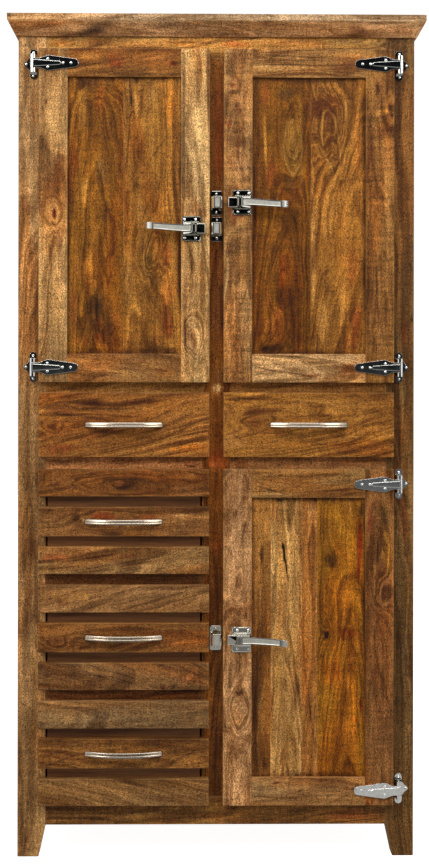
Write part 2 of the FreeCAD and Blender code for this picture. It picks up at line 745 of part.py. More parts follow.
strap_y = ("-strap_front_w", "strap_thickness - strap_front_w")
tip_x = "strap_length - strap_tip_radius"
strap_half = [
    ("0", "neck_half"),
    ("strap_neck_length", "neck_half"),
    ("strap_shoulder - strap_flat / 2", "strap_width / 2"),
    ("strap_shoulder + strap_flat / 2", "strap_width / 2"),
    (tip_x, "strap_tip_radius"),
]
strap_outline = strap_half + [(across, f"-({up})") for across, up in reversed(strap_half)]
strap_plate = prism("strap_plate", "y", strap_outline, *strap_y)
strap_tip = rod("strap_tip", "y", "strap_tip_radius", (tip_x, "-strap_front_w", "0"), "strap_thickness")
rib_y = ("-strap_front_w - rib_height", "strap_thickness / 2 - strap_front_w")
rib = prism("strap_rib", "y", [
    ("0", "rib_root_width / 2"),
    ("rib_length", "rib_tip_width / 2"),
    ("rib_length + rib_tip_width / 2", "0"),
    ("rib_length", "-rib_tip_width / 2"),
    ("0", "-rib_root_width / 2"),
], *rib_y)
knuckle = rod("strap_knuckle", "z", "barrel_radius", ("0", "-hinge_w", "-neck_half"), "strap_neck_height")
strap_bore = rod("strap_bore", "z", "hinge_pin_radius + hinge_pin_clearance",
                 ("0", "-hinge_w", "-neck_half - overrun"), "strap_neck_height + 2 * overrun")
hinge_strap = cut("hinge_strap", fuse("strap_casting", [strap_plate, strap_tip, rib, knuckle]),
                  [strap_bore])

HINGES = {
    "upper_low": "upper_door_low + hinge_inset",
    "upper_high": "upper_door_high - hinge_inset",
    "lower_low": "lower_door_low + hinge_inset",
    "lower_high": "lower_door_high - hinge_inset",
}


def hinge_group(name, source, keys):
    """Copies of one hinge part at the left hinge line."""
    return together(name, [
        copy_at(f"{name}_{key}", source, "-hinge_x", "frame_y", HINGES[key]) for key in keys])


UPPER = ("upper_low", "upper_high")
LOWER = ("lower_low", "lower_high")
for label, source in (("hinge_leaves", hinge_leaf), ("hinge_pins", hinge_pin)):
    left = hinge_group(label + "_on_left", source, UPPER)
    right = hinge_group(label + "_of_right", source, UPPER + LOWER)
    node(label, [left, mirrored(label + "_on_right", right)])
upper_straps = hinge_group("upper_straps", hinge_strap, UPPER)
node("upper_left_door_straps", [upper_straps])
node("upper_right_door_straps", [mirrored("upper_straps_right", upper_straps)])
node("lower_door_straps", [mirrored("lower_straps_right", hinge_group("lower_straps", hinge_strap, LOWER))])

# Lever latch, as on a right-hand door: X 0 is the free edge of the door and Y 0 its front face

case_x = ("case_inset", "case_end")


def clipped(x, height, bevel):
    """The outline of a plate with its four corners taken off."""
    low, high = f"-{height} / 2", f"{height} / 2"
    return [
        (f"{x[0]} + {bevel}", low),
        (f"{x[1]} - {bevel}", low),
        (x[1], f"{low} + {bevel}"),
        (x[1], f"{high} - {bevel}"),
        (f"{x[1]} - {bevel}", high),
        (f"{x[0]} + {bevel}", high),
        (x[0], f"{high} - {bevel}"),
        (x[0], f"{low} + {bevel}"),
    ]


plate = prism("case_plate_blank", "y", clipped(case_x, "case_height", "case_bevel"), "-case_plate", "0")
housing_side = prism("housing_side", "z", [
    ("housing_start", "0"),
    ("housing_start", "-bolt_top - case_plate"),
    ("pivot_x - cheek_margin - latch_pin_radius", "-cheek_top"),
    ("pivot_x + cheek_margin", "-cheek_top"),
    ("housing_end", "-bolt_top - case_plate / 2"),
    ("housing_end", "0"),
], "-housing_foot_width / 2", "housing_foot_width / 2")
housing_end_view = prism("housing_end_view", "x", [
    ("0", "-housing_foot_width / 2"),
    ("0", "housing_foot_width / 2"),
    ("-cheek_top", "housing_top_width / 2"),
    ("-cheek_top", "-housing_top_width / 2"),
], "housing_start", "housing_end")
housing = common("housing", [housing_side, housing_end_view])
notch = board("case_notch_room", ("case_inset - overrun", "housing_start"),
              ("-case_plate - overrun", "overrun"),
              ("-bolt_half - latch_clearance", "bolt_half + latch_clearance"))
lever_channel = board("lever_channel", ("housing_start - overrun", "case_end + overrun"),
                      ("-cheek_top - overrun", "-bolt_top - latch_clearance"),
                      ("-lever_half - latch_clearance", "lever_half + latch_clearance"))
bolt_channel = board("bolt_channel", ("housing_start - overrun", "housing_end - case_end_wall"),
                     ("-bolt_top - latch_clearance", "latch_clearance - bolt_rise"),
                     ("-bolt_half - latch_clearance", "bolt_half + latch_clearance"))
pin_start = ("pivot_x", "-pivot_rise", "-housing_top_width / 2")
latch_pin = rod("latch_pin", "z", "latch_pin_radius", pin_start, "housing_top_width")
pin_hole = rod("case_pin_hole", "z", "latch_pin_radius",
               ("pivot_x", "-pivot_rise", "-housing_foot_width / 2"), "housing_foot_width")
case_shell = cut("case_shell", fuse("case_casting", [plate, housing]),
                 [notch, lever_channel, bolt_channel, pin_hole])
latch_case = together("latch_case", [case_shell, latch_pin])

# The lever is shaped in side view and again in front view, where it falls a little towards its end

LEVER_SIDE_SHARES = [
    (0.0, 0.38), (0.30, 0.44), (0.62, 0.47), (0.86, 0.56), (0.955, 0.70), (1.0, 0.90),
    (1.0, 1.0), (0.95, 0.93), (0.86, 0.76), (0.62, 0.66), (0.30, 0.68), (0.0, 0.74),
]
lever_side = prism("lever_side", "z", [
    (f"pivot_x + {along} * lever_length", f"-{out} * lever_reach") for along, out in LEVER_SIDE_SHARES
], "-lever_half - lever_droop - overrun", "lever_half + overrun")
lever_front = prism("lever_front", "y", [
    ("pivot_x - lever_eye_radius", "lever_half"),
    ("case_end", "lever_half"),
    ("pivot_x + lever_length", "lever_tip_height / 2 - lever_droop"),
    ("pivot_x + lever_length", "-lever_tip_height / 2 - lever_droop"),
    ("case_end", "-lever_half"),
    ("pivot_x - lever_eye_radius", "-lever_half"),
], "-lever_reach - overrun", "0")
lever_arm = common("lever_arm", [lever_side, lever_front])
lever_eye = rod("lever_eye", "z", "lever_eye_radius",
                ("pivot_x", "-pivot_rise", "-lever_half"), "lever_height")
finger = board("lever_finger", ("pivot_x - finger_thickness / 2", "pivot_x + finger_thickness / 2"),
               ("-pivot_rise", "finger_reach - pivot_rise"), ("-finger_width / 2", "finger_width / 2"))
finger_tip = rod("lever_finger_tip", "z", "finger_tip_radius",
                 ("pivot_x", "finger_reach - pivot_rise", "-finger_width / 2"), "finger_width")
lever_bore = rod("lever_bore", "z", "latch_pin_radius + hinge_pin_clearance",
                 ("pivot_x", "-pivot_rise", "-lever_half - overrun"), "lever_height + 2 * overrun")
lever = cut("lever", fuse("lever_casting", [lever_arm, lever_eye, finger, finger_tip]), [lever_bore])

bolt_blank = prism("bolt_blank", "z", [
    ("bolt_inset + bolt_bevel", "-bolt_rise"),
    ("bolt_end", "-bolt_rise"),
    ("bolt_end", "-bolt_top"),
    ("bolt_inset", "-bolt_top"),
    ("bolt_inset", "-bolt_rise - bolt_bevel"),
], "-bolt_half", "bolt_half")
bolt_slot = prism("bolt_slot", "z", [
    ("slot_start", "overrun - bolt_rise"),
    ("slot_end", "overrun - bolt_rise"),
    ("slot_end", "-bolt_top - overrun"),
    ("slot_start - slot_flare", "-bolt_top - overrun"),
    ("slot_start", "finger_slack + finger_reach - pivot_rise"),
], "-finger_width / 2 - finger_slack", "finger_width / 2 + finger_slack")
bolt = cut("bolt", bolt_blank, [bolt_slot])

spring_back = "housing_end - case_end_wall - latch_clearance"
spring_front = "bolt_end + latch_clearance"
spring_middle = f"(({spring_back}) + ({spring_front})) / 2"
spring = prism("bolt_spring", "z", [
    (spring_front, "-bolt_rise"),
    (f"{spring_front} + spring_thickness", "-bolt_rise"),
    (spring_middle, "spring_thickness * 2 - bolt_top"),
    (f"{spring_back} - spring_thickness", "-bolt_rise"),
    (spring_back, "-bolt_rise"),
    (spring_middle, "-bolt_top"),
], "-spring_width / 2", "spring_width / 2")

LATCHES = {
    "upper_left": ("-front_inner", "(upper_door_low + upper_door_high) / 2 - latch_stagger", True),
    "upper_right": ("front_inner", "(upper_door_low + upper_door_high) / 2 + latch_stagger", False),
    "lower": ("front_inner", "(lower_door_low + lower_door_high) / 2 - lower_latch_drop", False),
}
for where, (edge, height, turned) in LATCHES.items():
    for label, source in (("latch_case", latch_case), ("latch_lever", lever),
                          ("latch_bolt", bolt), ("latch_spring", spring)):
        piece = copy_at(f"{where}_{label}_piece", source, edge, "front_face_y", height, turned)
        node(f"{where}_{label}", [piece])

# Keeper: a plate on the centre post with a hooked hood, its mouth towards the bolt

keeper_plate = prism("keeper_plate_blank", "y",
                     clipped(("keeper_far", "-keeper_gap"), "keeper_height", "keeper_bevel"),
                     "-keeper_plate", "0")
hood = prism("keeper_hood", "z", [
    ("keeper_far + hood_thickness / 2", "0"),
    ("keeper_far + hood_thickness / 2", "hood_slope - keeper_top"),
    ("keeper_far + hood_slope", "-keeper_top"),
    ("-keeper_gap - hood_slope / 2", "-keeper_top"),
    ("-keeper_gap", "hood_thickness - keeper_top"),
    ("keeper_far + hood_slope + hood_thickness / 2", "hood_thickness - keeper_top"),
    ("keeper_far + hood_thickness * 3 / 2", "hood_slope + hood_thickness / 2 - keeper_top"),
    ("keeper_far + hood_thickness * 3 / 2", "0"),
], "-hood_height / 2", "hood_height / 2")
keeper = fuse("keeper_casting", [keeper_plate, hood])
node("latch_keepers", [
    copy_at(f"{where}_keeper", keeper, edge, "frame_y", height, turned)
    for where, (edge, height, turned) in LATCHES.items()])

# Every object is computed and checked before anything is written

doc.recompute()
failed = [item.Name for item in doc.Objects if {"Invalid", "Error"} & set(item.State)]
if failed:
    raise SystemExit(f"These did not compute: {failed}")
for part in nodes:
    if part.Shape.isNull() or not part.Shape.isValid() or not part.Shape.Solids:
        raise SystemExit(f"{part.Label} has no valid solid")

os.makedirs("parts", exist_ok=True)
for part in nodes:
    part.Shape.exportStep(f"parts/{part.Label}.step")
    print(part.Label, len(part.Shape.Solids), "solids")
print(len(nodes), "nodes")
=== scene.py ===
import math

import bmesh
import bpy
import numpy as np
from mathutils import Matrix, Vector
from mathutils.bvhtree import BVHTree


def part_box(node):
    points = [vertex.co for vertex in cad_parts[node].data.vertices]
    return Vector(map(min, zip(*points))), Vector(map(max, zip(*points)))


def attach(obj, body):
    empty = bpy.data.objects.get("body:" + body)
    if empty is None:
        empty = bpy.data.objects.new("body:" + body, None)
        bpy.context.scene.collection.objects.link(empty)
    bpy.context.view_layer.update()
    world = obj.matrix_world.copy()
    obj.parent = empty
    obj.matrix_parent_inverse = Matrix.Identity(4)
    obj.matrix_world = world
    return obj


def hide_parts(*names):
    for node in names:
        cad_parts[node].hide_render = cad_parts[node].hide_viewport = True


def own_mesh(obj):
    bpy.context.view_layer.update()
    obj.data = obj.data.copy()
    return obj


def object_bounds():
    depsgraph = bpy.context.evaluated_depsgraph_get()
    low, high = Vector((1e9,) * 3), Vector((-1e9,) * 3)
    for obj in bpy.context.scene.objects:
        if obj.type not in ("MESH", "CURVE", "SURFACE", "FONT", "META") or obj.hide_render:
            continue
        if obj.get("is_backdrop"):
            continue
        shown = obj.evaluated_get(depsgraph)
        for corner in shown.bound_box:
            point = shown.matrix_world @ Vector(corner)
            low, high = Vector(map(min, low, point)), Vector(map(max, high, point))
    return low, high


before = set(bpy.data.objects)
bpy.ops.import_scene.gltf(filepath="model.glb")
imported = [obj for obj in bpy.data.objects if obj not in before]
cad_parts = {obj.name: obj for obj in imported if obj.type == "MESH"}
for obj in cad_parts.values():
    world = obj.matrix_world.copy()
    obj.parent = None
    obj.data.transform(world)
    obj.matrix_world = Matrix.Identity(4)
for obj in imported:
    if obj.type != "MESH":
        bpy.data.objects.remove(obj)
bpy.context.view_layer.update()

# The studio
# The cabinet stands on a plain pale floor in front of nothing but white. Two large soft lights
# hang high at the left and right, a wide one above, and the camera looks straight at the doors.

scene = bpy.context.scene
scene.view_settings.view_transform = "Standard"
scene.view_settings.look = "None"

camera_data = bpy.data.cameras.new("camera")
camera_data.sensor_width = 36.0
camera_data.lens = 71.82
camera_data.shift_x, camera_data.shift_y = 0.0063, -0.0963
camera_data.clip_start, camera_data.clip_end = 0.05, 60.0


def add(name, data):
    """Puts a new object into the scene."""
    made = bpy.data.objects.new(name, data)
    scene.collection.objects.link(made)
    return made


camera = add("camera", camera_data)
camera.location = (-0.077, -3.862, 1.085)
camera.rotation_euler = (math.radians(90), math.radians(-0.1), math.radians(-0.95))
scene.camera = camera


def put(tree, kind, settings=None, **inputs):
    """Adds a shader or geometry node. An input is a value or another node's output, its name has _ for a
    space, and i0, i1 and so on are inputs by number."""
    made = tree.nodes.new(kind)
    for key, value in (settings or {}).items():
        setattr(made, key, value)
    for key, value in inputs.items():
        if key[0] == "i" and key[1:].isdigit():
            socket = made.inputs[int(key[1:])]
        else:
            socket = made.inputs[key.replace("_", " ")]
        if isinstance(value, bpy.types.NodeSocket):
            tree.links.new(value, socket)
        else:
            socket.default_value = value
    return made


def attribute(tree, name, output="Fac"):
    """What an attribute of the mesh says."""
    return put(tree, "ShaderNodeAttribute", {"attribute_name": name}).outputs[output]


def noise(tree, place, detail, rough, twist=0.0, scale=1.0, output="Fac"):
    """Cloudy noise. detail and rough are how many finer layers it has and how strong they are, and
    twist is how far it is bent."""
    made = put(tree, "ShaderNodeTexNoise", Vector=place, Scale=scale, Detail=detail, Roughness=rough,
               Distortion=twist)
    return made.outputs[output]


def span(tree, value, low, high, out_low=0.0, out_high=1.0, smooth=False):
    """A number moved from one range into another, and held inside it."""
    kind = "SMOOTHSTEP" if smooth else "LINEAR"
    made = put(tree, "ShaderNodeMapRange", {"interpolation_type": kind}, Value=value, From_Min=low,
               From_Max=high, To_Min=out_low, To_Max=out_high)
    return made.outputs[0]


def sums(tree, operation, *values):
    """What an operation such as MULTIPLY or MAXIMUM makes of one to three numbers."""
    places = {f"i{k}": value for k, value in enumerate(values)}
    return put(tree, "ShaderNodeMath", {"operation": operation}, **places).outputs[0]


def vector(tree, operation, a, b):
    """What an operation such as MULTIPLY or ADD makes of two vectors or colours."""
    return put(tree, "ShaderNodeVectorMath", {"operation": operation}, i0=a, i1=b).outputs[0]


def scaled(tree, colour, by):
    """A colour made lighter or darker by a number."""
    return put(tree, "ShaderNodeVectorMath", {"operation": "SCALE"}, i0=colour, Scale=by).outputs[0]


def blend(tree, kind, share, a, b):
    """A share of colour b laid over colour a, by the way of mixing that kind names."""
    # 6 and 7 are the inputs that take colours, and 2 is the output that gives one
    made = put(tree, "ShaderNodeMix", {"data_type": "RGBA", "blend_type": kind}, Factor=share, i6=a, i7=b)
    return made.outputs[2]


world = bpy.data.worlds.new("studio")
scene.world = world
world.use_nodes = True
tree = world.node_tree
tree.nodes.clear()
path = put(tree, "ShaderNodeLightPath")
ray = put(tree, "ShaderNodeNewGeometry")
height = put(tree, "ShaderNodeSeparateXYZ", Vector=ray.outputs["Incoming"])
# A polished face sees a dark room above the camera and a lit floor below it.
below = span(tree, height.outputs["Z"], 0.005, 0.30)
above = span(tree, height.outputs["Z"], -0.28, -0.50, smooth=True)
aside = span(tree, sums(tree, "ABSOLUTE", height.outputs["X"]), 0.62, 0.85, smooth=True)
sight = sums(tree, "MULTIPLY", sums(tree, "MAXIMUM", above, aside), 1.5)
sight = sums(tree, "MAXIMUM", sight, below)
seen = put(tree, "ShaderNodeValToRGB", Fac=sight)
seen.color_ramp.elements[0].color = (0.004, 0.005, 0.006, 1)
seen.color_ramp.elements[1].color = (0.95, 0.95, 0.96, 1)
seen.color_ramp.elements.new(0.25).color = (0.12, 0.125, 0.13, 1)
seen.color_ramp.elements.new(0.55).color = (0.22, 0.22, 0.225, 1)
room = put(tree, "ShaderNodeBackground", Color=(1, 1, 1, 1), Strength=0.30)
mirror = put(tree, "ShaderNodeBackground", Color=seen.outputs[0], Strength=1.0)
behind = put(tree, "ShaderNodeBackground", Color=(1, 1, 1, 1), Strength=1.05)
first = put(
    tree, "ShaderNodeMixShader", i0=path.outputs["Is Glossy Ray"], i1=room.outputs[0], i2=mirror.outputs[0],
)
last = put(
    tree, "ShaderNodeMixShader", i0=path.outputs["Is Camera Ray"], i1=first.outputs[0],
    i2=behind.outputs[0],
)
put(tree, "ShaderNodeOutputWorld", Surface=last.outputs[0])


def softbox(name, place, aim, wide, tall, watts):
    """A rectangular lamp behind cloth, turned to look at aim."""
    lamp = bpy.data.lights.new(name, "AREA")
    lamp.shape = "RECTANGLE"
    lamp.size, lamp.size_y, lamp.energy = wide, tall, watts
    holder = add(name, lamp)
    holder.location = place
    holder.rotation_euler = (Vector(aim) - Vector(place)).to_track_quat("-Z", "Y").to_euler()
    holder.visible_camera = False


softbox("light_left", (-2.3, -2.3, 2.5), (0, 0, 1.2), 1.3, 1.3, 41)
softbox("light_right", (2.3, -2.3, 2.5), (0, 0, 1.2), 1.3, 1.3, 33)
softbox("light_above", (0, -1.9, 3.3), (0, 0, 1.3), 2.6, 0.9, 34)

floor_mesh = bpy.data.meshes.new("floor")
floor_mesh.from_pydata([(-9, -7, 0), (9, -7, 0), (9, 9, 0), (-9, 9, 0)], [], [(0, 1, 2, 3)])
floor = add("floor", floor_mesh)
# just below the feet, so that the two faces don't share a plane
floor.location.z = -0.0005


def blank_paint(name):
    """A new material with an empty node tree."""
    paint = bpy.data.materials.new(name)
    paint.use_nodes = True
    paint.node_tree.nodes.clear()
    return paint, paint.node_tree


floor_paint, tree = blank_paint("floor_paint")
path = put(tree, "ShaderNodeLightPath")
matt = put(tree, "ShaderNodeBsdfDiffuse", Color=(0.5, 0.5, 0.5, 1))
white = put(tree, "ShaderNodeBsdfDiffuse", Color=(0.9, 0.9, 0.9, 1))
# polished metal sees the floor bright beside the cabinet and dim farther off
spot = put(tree, "ShaderNodeSeparateXYZ", Vector=put(tree, "ShaderNodeTexCoord").outputs["Object"])
fade = span(tree, spot.outputs["Y"], -3.2, -0.5, 0.23, 0.50)
glow = put(tree, "ShaderNodeEmission", Color=(1, 1, 1, 1), Strength=fade)
lit = put(tree, "ShaderNodeEmission", Color=(1, 1, 1, 1), Strength=0.95)
plain = put(tree, "ShaderNodeAddShader", i0=white.outputs[0], i1=lit.outputs[0])
part = put(
    tree, "ShaderNodeMixShader", i0=path.outputs["Is Glossy Ray"], i1=matt.outputs[0], i2=glow.outputs[0],
)
mixed = put(
    tree, "ShaderNodeMixShader", i0=path.outputs["Is Camera Ray"], i1=part.outputs[0], i2=plain.outputs[0],
)
put(tree, "ShaderNodeOutputMaterial", Surface=mixed.outputs[0])
floor_mesh.materials.append(floor_paint)
floor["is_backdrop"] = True

# Corner posts
# Four square posts of solid mango wood carry everything else. Each foot is cut back on the
# inside below the bottom rails, so that it tapers; the rails meet the posts with dowels.


def tint(red, green, blue):
    """A colour as a display shows it, turned into the shader's linear numbers."""
    out = []
    for part in (red, green, blue):
        part = part / 255.0
        out.append(part / 12.92 if part <= 0.04045 else ((part + 0.055) / 1.055) ** 2.4)
    return np.array(out)


# the wood's commonest colours as a display shows them, from 0 to 255
HONEY, GOLD, TAN = (204, 160, 102), (190, 132, 62), (170, 121, 76)
RUST, CHESTNUT, GREY_BROWN = (134, 66, 28), (128, 78, 38), (122, 88, 60)
UMBER, EBONY = (84, 50, 26), (44, 25, 14)


def mango_wood(name):
    """Oiled mango wood. The board's own place in its log is the attribute log, its painted ground
    colour is tone, and look holds how strong the figure, the dark lines and the cross ripple are."""
    paint, tree = blank_paint(name)
    log = attribute(tree, "log", "Vector")
    tone = attribute(tree, "tone", "Color")
    edge_wear_and_highlight = attribute(tree, "edge_wear_and_highlight")
    look = put(tree, "ShaderNodeSeparateXYZ", Vector=attribute(tree, "look", "Vector"))

    def figured(coarseness, detail, rough, twist=0.0, output="Fac"):
        place = vector(tree, "MULTIPLY", log, coarseness)
        return noise(tree, place, detail, rough, twist, output=output)

    def ringed(place, detail, rough):
        made = put(tree, "ShaderNodeTexNoise", {"noise_dimensions": "1D"}, W=place, Scale=1.0,
                   Detail=detail, Roughness=rough)
        return made.outputs["Fac"]

    def patches(coarseness, detail, rough, twist, low, high, most=1.0):
        return span(tree, figured(coarseness, detail, rough, twist), low, high, 0.0, most, smooth=True)

    # the grain wanders, so that the rings are no true circles
    bent = log
    for coarseness, reach in (
        ((7.0, 7.0, 1.6), (0.07, 0.07, 0.0)), ((40.0, 40.0, 9.0), (0.010, 0.010, 0.0)),
    ):
        drift = vector(tree, "SUBTRACT", figured(coarseness, 2.0, 0.55, output="Color"), (0.5, 0.5, 0.5))
        bent = vector(tree, "ADD", bent, vector(tree, "MULTIPLY", drift, reach))
    flat = vector(tree, "MULTIPLY", bent, (1.0, 1.0, 0.0))
    radius = put(tree, "ShaderNodeVectorMath", {"operation": "LENGTH"}, i0=flat).outputs["Value"]
    rings = ringed(sums(tree, "MULTIPLY", radius, 130.0), 4.0, 0.62)
    bands = ringed(sums(tree, "MULTIPLY_ADD", radius, 34.0, 7.3), 2.0, 0.5)
    streak = figured((62.0, 62.0, 1.9), 5.0, 0.6, 0.25)
    fibre = figured((640.0, 640.0, 330.0), 2.0, 0.65)
    thread = figured((190.0, 190.0, 9.0), 3.0, 0.6, 0.2)
    cloud = figured((9.0, 9.0, 2.6), 3.0, 0.5, 0.4)
    pores = figured((780.0, 780.0, 70.0), 1.0, 0.5)
    ripple = figured((14.0, 14.0, 120.0), 2.0, 0.5, 0.3)

    figure = 0.0
    for part, weight in ((rings, 0.40), (bands, 0.24), (streak, 0.30), (thread, 0.20), (cloud, 0.22)):
        figure = sums(tree, "MULTIPLY_ADD", part, weight, figure)
    figure = span(tree, figure, 0.60, 0.77)
    depth = blend(tree, "MIX", figure, (0.40, 0.30, 0.20, 1), (1.42, 1.42, 1.40, 1))
    colour = blend(tree, "MULTIPLY", look.outputs["X"], tone, depth)
    colour = scaled(tree, colour, span(tree, fibre, 0.35, 0.65, 0.24, 1.72))
    # thin pale and dark lines that follow the rings
    wobble = sums(tree, "MULTIPLY_ADD", thread, 2.2, sums(tree, "MULTIPLY", radius, 470.0))
    wave = sums(tree, "SINE", wobble)
    seen = patches((17.0, 17.0, 5.0), 2.0, 0.5, 0.4, 0.44, 0.60)
    pale = sums(tree, "MULTIPLY", span(tree, wave, 0.72, 0.95, smooth=True), seen)
    deep = sums(tree, "MULTIPLY", span(tree, wave, -0.65, -0.92, smooth=True), seen)
    # dark flames and straw-coloured ones
    flame = patches((20.0, 20.0, 3.6), 4.0, 0.6, 0.9, 0.53, 0.66)
    straw = patches((24.0, 24.0, 3.2), 3.0, 0.55, 0.7, 0.54, 0.68)
    # broader dark lines that follow the rings, in patches
    lines = span(tree, bands, 0.40, 0.35, smooth=True)
    lines = sums(tree, "MULTIPLY", lines, span(tree, cloud, 0.44, 0.56, smooth=True))
    for share, shade in (
        (pale, (1.62, 1.62, 1.62, 1)), (deep, (0.5, 0.42, 0.36, 1)), (flame, (0.52, 0.42, 0.32, 1)),
        (straw, (1.5, 1.5, 1.55, 1)), (lines, (0.40, 0.28, 0.20, 1)),
    ):
        colour = blend(tree, "MULTIPLY", sums(tree, "MULTIPLY", share, look.outputs["Y"]), colour, shade)
    # rust-coloured clouds
    rust = patches((13.0, 13.0, 2.2), 2.0, 0.5, 0.6, 0.50, 0.64, most=0.85)
    colour = blend(tree, "MULTIPLY", rust, colour, (1.08, 0.85, 0.60, 1))
    ripples = sums(tree, "MULTIPLY_ADD", span(tree, ripple, 0.35, 0.65, -1.0, 1.0), look.outputs["Z"], 1.0)
    colour = scaled(tree, colour, ripples)
    dash = span(tree, pores, 0.60, 0.70, 0.0, 0.6, smooth=True)
    colour = blend(tree, "MULTIPLY", dash, colour, (0.36, 0.27, 0.2, 1))
    # the oil warms the wood
    colour = blend(tree, "MULTIPLY", 1.0, colour, (0.98, 0.93, 0.75, 1))
    # rubbed edges are paler and smoother; the paler edge is also a painted highlight along each rounded
    # edge
    rub_and_highlight = sums(tree, "MULTIPLY", edge_wear_and_highlight, span(tree, streak, 0.38, 0.62))
    colour = blend(tree, "MIX", sums(tree, "MULTIPLY", rub_and_highlight, 0.35), colour, (*tint(*HONEY), 1))

    rough = sums(tree, "MULTIPLY_ADD", streak, 0.22, 0.42)
    rough = sums(tree, "MULTIPLY_ADD", rub_and_highlight, -0.08, rough)
    relief = sums(tree, "MULTIPLY_ADD", fibre, 0.5, sums(tree, "MULTIPLY", rings, 0.7))
    relief = sums(tree, "MULTIPLY_ADD", dash, -0.9, relief)
    bump = put(tree, "ShaderNodeBump", Strength=0.4, Distance=0.0008, Height=relief)
    skin = put(tree, "ShaderNodeBsdfPrincipled", Base_Color=colour, Roughness=rough, Normal=bump.outputs[0],
               Specular_IOR_Level=0.17)
    put(tree, "ShaderNodeOutputMaterial", Surface=skin.outputs[0])
    return paint


oiled_wood = mango_wood("oiled_mango_wood")


def ticks(low, high, pitch, edge):
    """Lattice lines along one side of a board: close in the rounded edge, then evenly spaced."""
    a, b = low + edge, high - edge
    count = max(1, math.ceil((b - a) / pitch))
    return np.array([low, low + edge * 0.35, *np.linspace(a, b, count + 1), high - edge * 0.35, high])


def lattice(low, high, pitch, edge):
    """A board's skin as a net of small quads with rounded edges, from two corners in metres."""
    low, high = np.array(low, float), np.array(high, float)
    rows = [ticks(low[a], high[a], pitch[a], edge) for a in range(3)]
    n = [len(row) - 1 for row in rows]
    quads = []
    for a in range(3):
        b, c = (a + 1) % 3, (a + 2) % 3
        p, q = np.meshgrid(np.arange(n[b]), np.arange(n[c]), indexing="ij")
        for side in (0, n[a]):
            ring = []
            for db, dc in ((0, 0), (1, 0), (1, 1), (0, 1)):
                key = [None, None, None]
                key[a], key[b], key[c] = np.full(p.shape, side), p + db, q + dc
                ring.append((key[0] * (n[1] + 1) + key[1]) * (n[2] + 1) + key[2])
            quads.append(np.stack(ring if side else ring[::-1], -1).reshape(-1, 4))
    used, faces = np.unique(np.concatenate(quads), return_inverse=True)
    k, j, i = used % (n[2] + 1), used // (n[2] + 1) % (n[1] + 1), used // ((n[2] + 1) * (n[1] + 1))
    points = np.stack([rows[0][i], rows[1][j], rows[2][k]], -1)
    core = np.clip(points, low + edge, high - edge)
    out = points - core
    size = np.linalg.norm(out, axis=1, keepdims=True)
    points = np.where(size > 0, core + out / np.maximum(size, 1e-9) * edge, points)
    near = np.sort(np.minimum(points - low, high - points), axis=1)
    # nearness to an edge, which the wood paints paler as wear and as a painted highlight
    edge_wear_and_highlight = np.clip(1.0 - near[:, 1] / (edge * 1.6), 0.0, 1.0)
    return points, faces.reshape(-1, 4), edge_wear_and_highlight


def waves(points, seed, reach, count=7):
    """Soft random waves between about -1 and 1, reach metres long in each direction."""
    dice = np.random.default_rng(seed)
    total = np.zeros(len(points))
    for _ in range(count):
        way = dice.normal(size=3) / np.array(reach) * 3.2
        total += np.sin(points @ way + dice.uniform(0, 6.28))
    return total / math.sqrt(count)


def plank(low, high, grain, seed, tone, heart=(0, 60), lean=(0, 0), look=(0.95, 0.6, 0.12), marks=(),
          edge=1.5, pitch=4.0, knots=()):
    """One board from its corners in metres. grain is the axis it runs along, and tone its colour as a
    display shows it. heart is where the log's heart lies across and behind the board in millimetres, and
    lean how far that drifts along it, as slopes. edge is the radius of its edges and pitch the size of its
    quads, in millimetres. marks are soft patches: place across and up, two radii in millimetres, turn,
    tone, strength, a number below 1 if the patch has a sharper edge, and the width of the line as a share
    of its size if only its outline is painted. knots push the rings aside: place, two radii and height."""
    low, high = Vector(low), Vector(high)
    # thin dark lines run with the grain, so the net is close across it and wide along it
    pitches = [pitch / 1000] * 3
    pitches["xyz".index(grain)] = 0.004 if pitch < 1.95 else max(8.0, pitch * 2.5) / 1000
    points, faces, edge_wear_and_highlight = lattice(low, high, pitches, min(edge / 1000, min(high - low) * 0.3))
    return dress(points, faces, edge_wear_and_highlight, low, high, grain, seed, tone, heart, lean, look, marks, knots)


